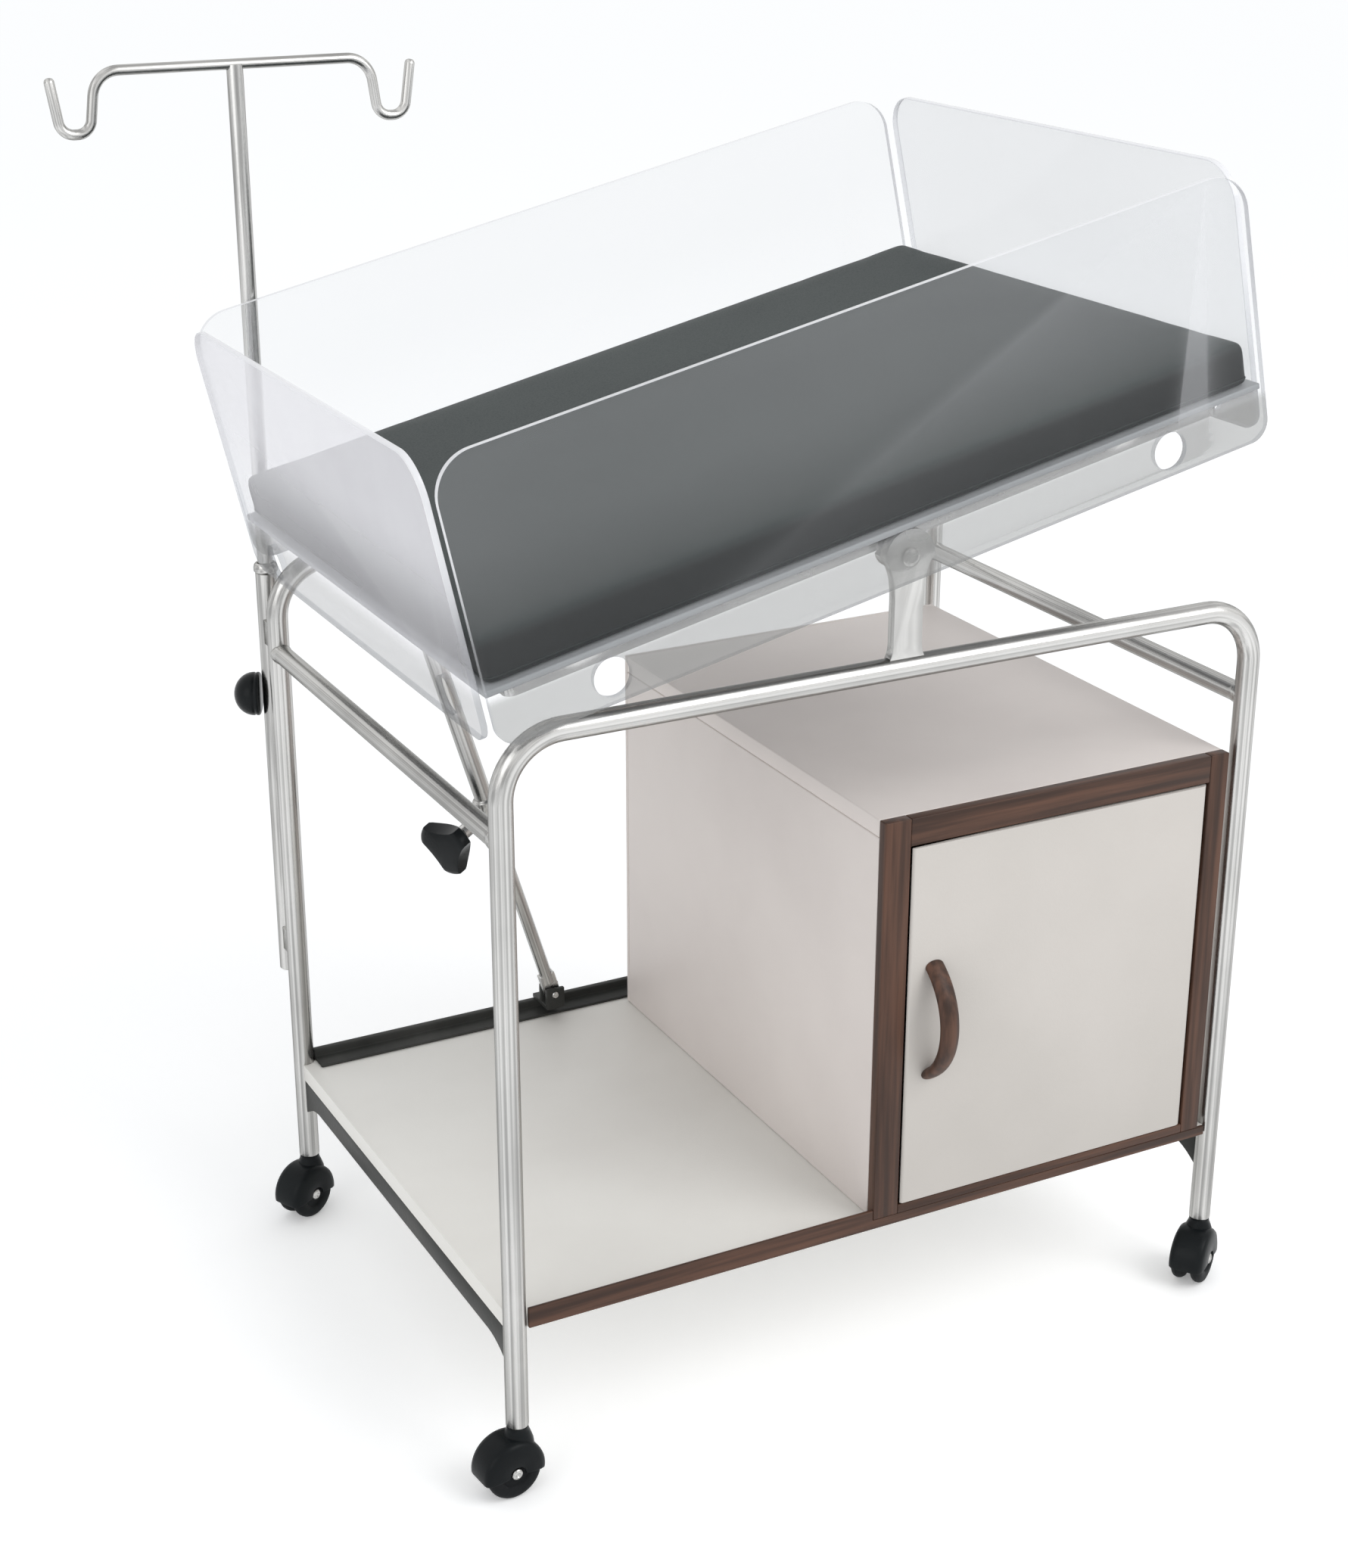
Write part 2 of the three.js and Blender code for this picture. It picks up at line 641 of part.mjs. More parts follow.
// The door turns on two pins, and its hinge edge is round about them
function buildDoor() {
  const left = opening.left + DOOR_GAP;
  const back = doorFront + DOOR_THICKNESS;
  const bottom = opening.bottom + DOOR_GAP;
  const top = opening.top - DOOR_GAP;
  const round = DOOR_EDGE_ROUND;
  const plan = new THREE.Shape();
  plan.moveTo(left, back);
  plan.absarc(left + round, doorFront + round, round, Math.PI, 1.5 * Math.PI);
  plan.absarc(doorAxis.x, doorAxis.y, DOOR_THICKNESS / 2, -Math.PI / 2, Math.PI / 2);
  plan.closePath();
  const bore = DOOR_PIN_D + 2 * RUNNING;
  const bores = [bottom - SEAT, top - DOOR_PIN_DEPTH].map((low) =>
    uprightBar(doorAxis.x, doorAxis.y, low, low + DOOR_PIN_DEPTH + SEAT, bore),
  );
  addPiece(bassinet, "cabinet_door", carve([alongZ(plan, bottom, top)], bores), doorWhite);

  const reach = DOOR_PIN_DEPTH - SEAT;
  const pins = {
    bottom: [opening.bottom - reach, bottom + reach],
    top: [top - reach, opening.top + reach],
  };
  for (const [name, [low, high]] of Object.entries(pins)) {
    const pin = uprightBar(doorAxis.x, doorAxis.y, low, high, DOOR_PIN_D);
    addPiece(bassinet, `door_${name}_pin`, pin, steel);
  }

  const handleX = left + HANDLE_INSET;
  const face = doorFront - SEAT;
  const middle = opening.bottom + HANDLE_CENTRE;
  const half = HANDLE_LENGTH / 2;
  const bow = new THREE.Shape();
  bow.moveTo(face, middle - half);
  arch(bow, face, middle, half, HANDLE_REACH);
  bow.lineTo(face, middle + half - HANDLE_ROOT);
  arch(bow, face, middle, HANDLE_ROOT - half, HANDLE_REACH - HANDLE_THICKNESS);
  bow.closePath();
  const grip = alongX(bow, handleX - HANDLE_WIDTH / 2, handleX + HANDLE_WIDTH / 2);
  addPiece(bassinet, "door_handle", grip, brownTrim);
}

// Tub of four separate clear walls round a floor, carried by a welded base frame
function wallShape(halfSpan, holeInset) {
  const low = FLOOR_RISE - SKIRT_DEPTH;
  const high = FLOOR_RISE + TUB_DEPTH;
  const shape = roundedRectangle(-halfSpan, halfSpan, low, high, WALL_BOTTOM_RADIUS, WALL_TOP_RADIUS);
  for (const side of [-1, 1]) {
    shape.holes.push(hole(side * (halfSpan - holeInset), FLOOR_RISE - SKIRT_HOLE_DROP, SKIRT_HOLE_D));
  }
  return shape;
}

function buildMattress() {
  const length = TUB_LENGTH - 2 * (TUB_WALL + MATTRESS_GAP);
  const width = 2 * (tubHalfWidth - TUB_WALL - MATTRESS_GAP);
  const { length: nx, width: ny, height: nz } = MATTRESS_GRID;
  const geometry = new THREE.BoxGeometry(length, width, MATTRESS_THICKNESS, nx, ny, nz);
  const place = geometry.attributes.position;
  const bottom = FLOOR_RISE + SEAT;
  for (let i = 0; i < place.count; i += 1) {
    const x = place.getX(i);
    const y = place.getY(i);
    const level = place.getZ(i) / MATTRESS_THICKNESS + 0.5;
    const cornerX = length / 2 - MATTRESS_CORNER;
    const cornerY = width / 2 - MATTRESS_CORNER;
    const outX = Math.max(Math.abs(x) - cornerX, 0);
    const outY = Math.max(Math.abs(y) - cornerY, 0);
    const pull = outX > 0 && outY > 0 ? Math.max(outX, outY) / Math.hypot(outX, outY) : 1;
    const roundedX = Math.sign(x) * (Math.min(Math.abs(x), cornerX) + outX * pull);
    const roundedY = Math.sign(y) * (Math.min(Math.abs(y), cornerY) + outY * pull);
    const waist = MATTRESS_WAIST * Math.sin(Math.PI * level);
    const crown = (1 - (2 * x / length) ** 2) * (1 - (2 * y / width) ** 2);
    place.setXYZ(
      i,
      roundedX * (1 - (2 * waist) / length),
      roundedY * (1 - (2 * waist) / width),
      bottom + level * (MATTRESS_THICKNESS + MATTRESS_CROWN * crown),
    );
  }
  return geometry.translate(-TUB_HEAD_SHIFT, 0, 0);
}

function buildBaseFrame() {
  const head = -TUB_HEAD_SHIFT - baseHalfLength;
  const foot = -TUB_HEAD_SHIFT + baseHalfLength;
  const inside = baseHalfWidth - BASE_BAR_WIDTH;
  const corner = BASE_BAR_WIDTH / 2;
  const ring = roundedRectangle(head, foot, -baseHalfWidth, baseHalfWidth, corner, corner);
  const window = new THREE.Path([
    new THREE.Vector2(head + BASE_BAR_WIDTH, -inside),
    new THREE.Vector2(foot - BASE_BAR_WIDTH, -inside),
    new THREE.Vector2(foot - BASE_BAR_WIDTH, inside),
    new THREE.Vector2(head + BASE_BAR_WIDTH, inside),
  ]);
  ring.holes.push(window);
  const lug = new THREE.Shape();
  const half = LUG_WIDTH / 2;
  lug.moveTo(-half, baseTop);
  lug.absarc(0, 0, half, Math.PI, 2 * Math.PI);
  lug.lineTo(half, baseTop);
  lug.closePath();
  const lugs = [alongY(lug, -baseHalfWidth, -inside), alongY(lug, inside, baseHalfWidth)];
  const bore = crossPin(0, 0, -2 * baseHalfWidth, 2 * baseHalfWidth, PIVOT_PIN_D + 2 * RUNNING);
  return carve([alongZ(ring, baseBottom, baseTop), ...lugs], [bore]);
}

/** A fork with its base on a face at height 0 and its cheeks rising to a pin. */
function buildClevis() {
  const inner = TONGUE_THICKNESS / 2 + CLEVIS_SIDE_GAP;
  const outer = inner + CLEVIS_CHEEK;
  const top = clevisPin + LINK_PIN_D;
  const fork = new THREE.Shape();
  fork.moveTo(-outer, SEAT);
  fork.lineTo(outer, SEAT);
  fork.lineTo(outer, top);
  fork.lineTo(inner, top);
  fork.lineTo(inner, SEAT + CLEVIS_BASE);
  fork.lineTo(-inner, SEAT + CLEVIS_BASE);
  fork.lineTo(-inner, top);
  fork.lineTo(-outer, top);
  fork.closePath();
  const body = alongX(fork, -CLEVIS_WIDTH / 2, CLEVIS_WIDTH / 2);
  return carve([body], [crossPin(0, clevisPin, -2 * outer, 2 * outer, LINK_PIN_D + 2 * SEAT)]);
}

// The strut's foot fork stands on a plate that reaches forward from the top of the shelf's rear lip
function buildFootBracket() {
  const front = TONGUE_THICKNESS / 2 + CLEVIS_SIDE_GAP + CLEVIS_CHEEK;
  const rear = halfWidth + SHELF_RAIL_THICKNESS / 2 - strutY;
  const half = CLEVIS_WIDTH / 2;
  const plate = block([-half, -front, SEAT], [half, rear, SEAT + CLEVIS_BASE]);
  return carve([buildClevis(), plate]);
}

function buildLinkPin() {
  const reach = TONGUE_THICKNESS / 2 + CLEVIS_SIDE_GAP + CLEVIS_CHEEK + SEAT;
  return crossPin(0, clevisPin, -reach, reach, LINK_PIN_D);
}

function buildTub() {
  const tub = new THREE.Group();
  tub.position.z = pivotHeight;
  tub.rotation.y = -tilt;
  bassinet.add(tub);

  const floorHalfLength = tubHalfLength - TUB_WALL - SEAT;
  const floorHalfWidth = tubHalfWidth - TUB_WALL - SEAT;
  const floor = block(
    [-TUB_HEAD_SHIFT - floorHalfLength, -floorHalfWidth, floorBottom],
    [-TUB_HEAD_SHIFT + floorHalfLength, floorHalfWidth, FLOOR_RISE],
  );
  addPiece(tub, "tub_floor", floor, floorBoard);
  addPiece(tub, "tub_base_frame", buildBaseFrame(), steel);
  addPiece(tub, "mattress", buildMattress(), vinyl);

  const side = wallShape(tubHalfLength - TUB_WALL, SIDE_HOLE_INSET);
  const end = wallShape(tubHalfWidth - TUB_WALL - CORNER_GAP, END_HOLE_INSET);
  const inY = tubHalfWidth - TUB_WALL;
  const inX = tubHalfLength - TUB_WALL;
  const walls = {
    tub_front_wall: alongY(side, -tubHalfWidth, -inY).translate(-TUB_HEAD_SHIFT, 0, 0),
    tub_rear_wall: alongY(side, inY, tubHalfWidth).translate(-TUB_HEAD_SHIFT, 0, 0),
    tub_head_wall: alongX(end, -TUB_HEAD_SHIFT - tubHalfLength, -TUB_HEAD_SHIFT - inX),
    tub_foot_wall: alongX(end, -TUB_HEAD_SHIFT + inX, -TUB_HEAD_SHIFT + tubHalfLength),
  };
  for (const [name, geometry] of Object.entries(walls)) {
    addPiece(tub, name, geometry, acrylic);
  }

  const hanger = new THREE.Group();
  hanger.position.set(strutHead.x, strutY, baseBottom);
  hanger.rotation.x = Math.PI;
  tub.add(hanger);
  addPiece(hanger, "strut_head_clevis", buildClevis(), steel);
  addPiece(hanger, "strut_head_pin", buildLinkPin(), steel);
}

// A tongue with an eye at height 0, thinned across Y, running up to the given height
function tongue(eyeHole, top) {
  const half = TONGUE_D / 2;
  const shape = new THREE.Shape();
  shape.absarc(0, 0, half, Math.PI, 2 * Math.PI);
  shape.lineTo(half, top);
  shape.lineTo(-half, top);
  shape.closePath();
  shape.holes.push(hole(0, 0, eyeHole));
  return alongY(shape, -TONGUE_THICKNESS / 2, TONGUE_THICKNESS / 2);
}

/** A knob turned about Z with its stud towards -Z and its face towards +Z. */
function coneKnob(stud, start) {
  const nose = CONE_KNOB_NOSE_D / 2;
  const rim = CONE_KNOB_D / 2;
  const end = start + CONE_KNOB_LENGTH;
  const body = turned([
    [0, stud],
    [STUD_D / 2, stud],
    [STUD_D / 2, start],
    [nose, start],
    [rim - KNOB_CHAMFER, end - CONE_KNOB_RIM],
    [rim, end - CONE_KNOB_RIM + KNOB_CHAMFER],
    [rim, end - KNOB_CHAMFER],
    [rim - KNOB_CHAMFER, end],
    [0, end],
  ]);
  const scallops = [];
  for (let i = 0; i < KNOB_SCALLOPS; i += 1) {
    const angle = (2 * Math.PI * i) / KNOB_SCALLOPS;
    const away = rim + KNOB_SCALLOP_D / 2 - KNOB_SCALLOP_BITE;
    const x = away * Math.cos(angle);
    const y = away * Math.sin(angle);
    scallops.push(uprightBar(x, y, start - CUT_MARGIN, end + CUT_MARGIN, KNOB_SCALLOP_D));
  }
  return carve([body], scallops);
}

function domeKnob(stud, start) {
  const rim = DOME_KNOB_D / 2;
  const crown = DOME_KNOB_LENGTH - DOME_KNOB_RIM;
  const profile = [
    [0, stud],
    [STUD_D / 2, stud],
    [STUD_D / 2, start],
    [rim - DOME_KNOB_EDGE, start],
    [rim, start + DOME_KNOB_EDGE],
  ];
  for (let step = 0; step < ARC_SEGMENTS; step += 1) {
    const angle = (Math.PI / 2) * (step / ARC_SEGMENTS);
    profile.push([rim * Math.cos(angle), start + DOME_KNOB_RIM + crown * Math.sin(angle)]);
  }
  profile.push([0, start + DOME_KNOB_LENGTH]);
  return turned(profile);
}

// Strut that holds the tub's tilt: a rod from the shelf slides in a tube hung from the base frame
function buildStrut() {
  const foot = new THREE.Group();
  foot.position.set(strutFoot.x, strutY, lipTop);
  bassinet.add(foot);
  addPiece(foot, "strut_foot_clevis", buildFootBracket(), darkRail);
  addPiece(foot, "strut_foot_pin", buildLinkPin(), steel);

  const strut = new THREE.Group();
  strut.position.copy(strutFoot);
  strut.rotation.y = strutLean;
  bassinet.add(strut);

  const rodTop = STRUT_CLAMP_AT + STRUT_ROD_INSERT;
  const rod = uprightBar(0, 0, TONGUE_D / 2 + SEAT, rodTop, STRUT_ROD_D);
  const rodBody = carve([tongue(LINK_PIN_D + 2 * RUNNING, TONGUE_LENGTH), rod]);
  addPiece(strut, "strut_rod", rodBody, steel);

  const low = STRUT_CLAMP_AT - STRUT_COLLAR_LENGTH / 2;
  const boreTop = rodTop + TONGUE_LENGTH;
  const eye = tongue(LINK_PIN_D + 2 * LINK_SLOP, TONGUE_LENGTH);
  eye.rotateX(Math.PI).translate(0, 0, strutLength);
  const tube = uprightBar(0, 0, low, strutLength - TONGUE_D, STRUT_TUBE_D);
  const collar = uprightBar(0, 0, low, low + STRUT_COLLAR_LENGTH, STRUT_COLLAR_D);
  const alongBoss = (reach) => at(-reach * Math.cos(bossTurn), -reach * Math.sin(bossTurn), STRUT_CLAMP_AT);
  const boss = bar(alongBoss(0), alongBoss(STRUT_BOSS_REACH), STRUT_BOSS_D);
  const rodBore = uprightBar(0, 0, low - CUT_MARGIN, boreTop, STRUT_ROD_D + 2 * RUNNING);
  const studBore = bar(alongBoss(0), alongBoss(STRUT_BOSS_REACH + CUT_MARGIN), STUD_D + 2 * RUNNING);
  const sleeve = carve([tube, eye, collar, boss], [rodBore, studBore]);
  addPiece(strut, "strut_tube", sleeve, steel);

  const knob = coneKnob(STRUT_ROD_D / 2 + STUD_RELEASE, STRUT_BOSS_REACH + SEAT);
  knob.rotateY(-Math.PI / 2).rotateZ(bossTurn).translate(0, 0, STRUT_CLAMP_AT);
  addPiece(strut, "strut_knob", knob, blackPlastic);
}

// Drip pole that slides in a guide tube behind the rear left leg
function buildPole() {
  const guideTube = uprightBar(poleX, poleY, guideBottom, guideTop, GUIDE_D);
  const boreD = POLE_D + 2 * RUNNING;
  const guideBore = uprightBar(poleX, poleY, guideBottom - CUT_MARGIN, guideTop + CUT_MARGIN, boreD);
  const studHole = bar(
    at(poleX, poleY, poleKnobHeight),
    at(poleX - GUIDE_D * Math.cos(domeTurn), poleY + GUIDE_D * Math.sin(domeTurn), poleKnobHeight),
    STUD_D + 2 * RUNNING,
  );
  addPiece(bassinet, "pole_guide", carve([guideTube], [guideBore, studHole]), steel);

  const bushInner = boreD / 2;
  const bushOuter = GUIDE_BUSH_D / 2;
  const bush = turned(
    [
      [bushInner, 0],
      [bushOuter, 0],
      [bushOuter, GUIDE_BUSH_HEIGHT - GUIDE_BUSH_CHAMFER],
      [bushOuter - GUIDE_BUSH_CHAMFER, GUIDE_BUSH_HEIGHT],
      [bushInner, GUIDE_BUSH_HEIGHT],
      [bushInner, 0],
    ],
    TUBE_SIDES,
  );
  bush.translate(poleX, poleY, guideTop + SEAT);
  addPiece(bassinet, "pole_guide_bush", bush, steel);

  const guideCutter = uprightBar(poleX, poleY, 0, guideTop, GUIDE_D + 2 * SEAT);
  const levels = {
    lower: guideBottom + GUIDE_BLOCK_RISE,
    upper: RAIL_HEIGHT - BEND_RADIUS - GUIDE_BLOCK_DROP,
  };
  for (const [name, level] of Object.entries(levels)) {
    const half = GUIDE_BLOCK_WIDTH / 2;
    const middle = (poleX - halfLength) / 2;
    const raw = block(
      [middle - half, halfWidth, level - GUIDE_BLOCK_HEIGHT / 2],
      [middle + half, poleY, level + GUIDE_BLOCK_HEIGHT / 2],
    );
    const saddle = carve([raw], [legCutter(-halfLength, halfWidth), guideCutter]);
    addPiece(bassinet, `pole_guide_${name}_block`, saddle, steel);
  }

  const barCut = HOOK_BAR_D + 2 * SEAT;
  const seat = bar(at(poleX - POLE_D, poleY, poleTop), at(poleX + POLE_D, poleY, poleTop), barCut);
  const pole = uprightBar(poleX, poleY, poleBottom, poleTop, POLE_D);
  addPiece(bassinet, "drip_pole", carve([pole], [seat]), steel);

  const tipX = HOOK_SPAN / 2;
  const shoulderX = tipX - HOOK_MOUTH;
  const half = [
    [shoulderX, 0],
    [shoulderX + HOOK_SPLAY, -HOOK_DEPTH],
    [tipX - HOOK_SPLAY, -HOOK_DEPTH],
    [tipX, -HOOK_TIP_DROP],
  ];
  const mirrored = half.map(([x, z]) => [-x, z]).reverse();
  const corners = [...mirrored, ...half].map(([x, z]) => at(poleX + x, poleY, poleTop + z));
  const hookBar = bentBar(bentPath(corners, HOOK_BEND), HOOK_BAR_D, HOOK_SIDES);
  addPiece(bassinet, "drip_hook_bar", hookBar, steel);

  const knob = domeKnob(POLE_D / 2 + STUD_RELEASE, GUIDE_D / 2 + DOME_KNOB_STANDOFF);
  knob.rotateY(-Math.PI / 2).rotateZ(-domeTurn).translate(poleX, poleY, poleKnobHeight);
  addPiece(bassinet, "pole_knob", knob, blackPlastic);
}

// Twin-wheel castor: a hooded body with a stem, carrying a wheel on each side of its web
function buildCastorBody() {
  const wheelR = WHEEL_D / 2;
  const axleX = -CASTOR_TRAIL;
  const inner = wheelR + HOOD_GAP;
  const outer = inner + HOOD_WALL;
  const reach = CASTOR_WEB / 2 + WHEEL_SIDE_GAP + WHEEL_WIDTH;
  const skirt = THREE.MathUtils.degToRad(HOOD_SKIRT_DEG);
  const hoodShape = new THREE.Shape();
  hoodShape.absarc(axleX, wheelR, outer, -skirt, Math.PI + skirt);
  hoodShape.absarc(axleX, wheelR, inner, Math.PI + skirt, -skirt, true);
  hoodShape.closePath();
  const web = new THREE.Shape();
  web.absarc(axleX, wheelR, inner + HOOD_WALL / 2, -skirt, Math.PI + skirt);
  web.absarc(axleX, wheelR, AXLE_D, Math.PI + skirt, 2 * Math.PI - skirt);
  web.closePath();
  const axle = crossPin(axleX, wheelR, -reach, reach, AXLE_D);
  const neckLow = wheelR + inner / 2;
  const neck = uprightBar(0, 0, neckLow, CASTOR_HEIGHT - SEAT, NECK_D);
  const stem = uprightBar(0, 0, neckLow, CASTOR_HEIGHT + STEM_LENGTH, STEM_D);
  const hood = alongY(hoodShape, -reach, reach);
  const plate = alongY(web, -CASTOR_WEB / 2, CASTOR_WEB / 2);
  const rooms = [-1, 1].map((side) => {
    const from = at(axleX, (side * CASTOR_WEB) / 2, wheelR);
    const to = at(axleX, side * reach, wheelR);
    return bar(from, to, 2 * inner, ROUND_SIDES);
  });
  const top = carve([hood, plate, neck, stem], rooms);
  return carve([top, axle]);
}

function buildWheel() {
  const r = WHEEL_D / 2;
  const bore = AXLE_D / 2 + RUNNING;
  const hub = HUB_D / 2;
  const start = CASTOR_WEB / 2 + WHEEL_SIDE_GAP;
  const end = start + WHEEL_WIDTH;
  return turned([
    [bore, start],
    [r - TREAD_ROUND, start],
    [r, start + TREAD_ROUND],
    [r, end - TREAD_ROUND],
    [r - TREAD_SHOULDER, end - TREAD_SHOULDER],
    [r - TREAD_ROUND, end],
    [hub, end],
    [hub - HUB_RECESS, end - HUB_RECESS],
    [bore, end - HUB_RECESS],
    [bore, start],
  ]);
}

function buildCastors() {
  const places = {
    front_left: [-halfLength, -halfWidth],
    front_right: [halfLength, -halfWidth],
    rear_left: [-halfLength, halfWidth],
    rear_right: [halfLength, halfWidth],
  };
  for (const [name, [x, y]] of Object.entries(places)) {
    const castor = new THREE.Group();
    castor.position.set(x, y, 0);
    castor.rotation.z = THREE.MathUtils.degToRad(CASTOR_TURNS[name]);
    bassinet.add(castor);
    addPiece(castor, `${name}_castor`, buildCastorBody(), blackPlastic);
    for (const [side, label] of [[1, "inner"], [-1, "outer"]]) {
      const wheel = buildWheel().rotateX((-side * Math.PI) / 2);
      wheel.translate(-CASTOR_TRAIL, 0, WHEEL_D / 2);
      addPiece(castor, `${name}_${label}_wheel`, wheel, rubber);
    }
  }
}

buildFrame();
buildShelf();
buildCabinet();
buildDoor();
buildTub();
buildStrut();
buildPole();
buildCastors();

// The whole object stands with its middle over the origin
const extent = new THREE.Box3().setFromObject(bassinet, true);
const middle = extent.getCenter(new THREE.Vector3());
bassinet.position.set(-middle.x, -middle.y, -extent.min.z);
const part = new THREE.Group();
part.add(bassinet);

export default part;
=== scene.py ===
"""Looks of a hospital bassinet: a tilting clear tub on a wheeled frame with a cabinet and a drip pole."""

import json
import logging
import math
from collections.abc import Callable, Iterator, Sequence
from contextlib import contextmanager
from dataclasses import dataclass
from enum import Enum

import bpy
from mathutils import Matrix, Vector


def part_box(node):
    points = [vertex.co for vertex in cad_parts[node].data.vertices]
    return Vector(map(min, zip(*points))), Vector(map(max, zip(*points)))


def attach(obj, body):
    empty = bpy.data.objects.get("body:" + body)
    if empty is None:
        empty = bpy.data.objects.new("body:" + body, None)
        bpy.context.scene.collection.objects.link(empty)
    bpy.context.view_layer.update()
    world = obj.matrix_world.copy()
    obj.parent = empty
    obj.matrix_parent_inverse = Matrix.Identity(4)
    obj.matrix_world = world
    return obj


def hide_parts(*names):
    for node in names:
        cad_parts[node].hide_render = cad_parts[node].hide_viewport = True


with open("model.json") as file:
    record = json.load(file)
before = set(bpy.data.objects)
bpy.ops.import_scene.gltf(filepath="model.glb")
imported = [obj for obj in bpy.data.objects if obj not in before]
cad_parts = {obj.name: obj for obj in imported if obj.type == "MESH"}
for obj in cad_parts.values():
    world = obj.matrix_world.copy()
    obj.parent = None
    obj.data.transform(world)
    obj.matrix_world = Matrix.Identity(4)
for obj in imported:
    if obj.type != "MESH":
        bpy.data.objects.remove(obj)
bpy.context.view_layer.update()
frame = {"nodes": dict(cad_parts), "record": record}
log = logging.getLogger("bassinet")

Piece = bpy.types.Object
Point = tuple[float, float, float]
Span = tuple[float, float]
Colour = tuple[float, float, float, float]
Profile = Sequence[tuple[float, float]]

UP = Vector((0.0, 0.0, 1.0))
ACROSS = Vector((0.0, 1.0, 0.0))
ALONG = Vector((1.0, 0.0, 0.0))
FULL_TURN = 2.0 * math.pi
# Points nearer than this are one point.
WELD = 2e-5
# A drill reaches this many times the size of what it goes through.
CLEAR = 4.0
# A plain pin's chamfer, as a share of its radius, and the faces round it.
PIN_EDGE = 0.2
PIN_SIDES = 32


class Slot(Enum):
    """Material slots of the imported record."""

    STEEL = "steel"
    LAMINATE = "laminate"
    DOOR = "door_white"
    BROWN = "brown_trim"
    RAIL = "dark_rail"
    ACRYLIC = "acrylic"
    FLOOR = "floor_board"
    VINYL = "vinyl"
    BLACK = "black_plastic"
    CASTOR = "castor_plastic"
    RUBBER = "wheel_rubber"


class Side(Enum):
    """The two sides of a castor, and the way each faces along the axle."""

    INNER = 1.0
    OUTER = -1.0


class Part(Enum):
    """The parts of a mesh that can be picked."""

    CORNERS = "VERT"
    EDGES = "EDGE"
    FACES = "FACE"


class Meet(Enum):
    """What happens where one solid meets another."""

    CUT = "DIFFERENCE"
    FUSE = "UNION"


class Run(Enum):
    """The way the streaks of brown edging run."""

    LEVEL = 0.0
    UPRIGHT = 1.0


class Detail(Enum):
    """How many layers a noise has."""

    FINE = 2.0
    SOFT = 3.0
    BROAD = 4.0
    STREAKY = 5.0


def joint(name: str) -> dict:
    """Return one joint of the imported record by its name."""
    return next(entry for entry in frame["record"]["behaviour"]["joints"] if entry["name"] == name)


def facing(origin: Sequence[float], direction: Vector) -> Matrix:
    """Return the matrix that puts local Z along a direction from an origin."""
    return Matrix.Translation(origin) @ direction.to_track_quat("Z", "Y").to_matrix().to_4x4()


def chamfered(radius: float, low: float, high: float, edge: float, bore: float = 0.0) -> Profile:
    """Draw the profile of a round bar or tube with chamfered ends.

    Args:
        radius: Outer radius.
        low: Height of the lower end.
        high: Height of the upper end.
        edge: Width of both chamfers.
        bore: Inner radius, or zero for a bar.

    Returns:
        Radius and height of each point, from the lower end to the upper one.
    """
    inset = radius - edge
    rise = [(bore, low), (inset, low), (radius, low + edge)]
    return [*rise, (radius, high - edge), (inset, high), (bore, high)]


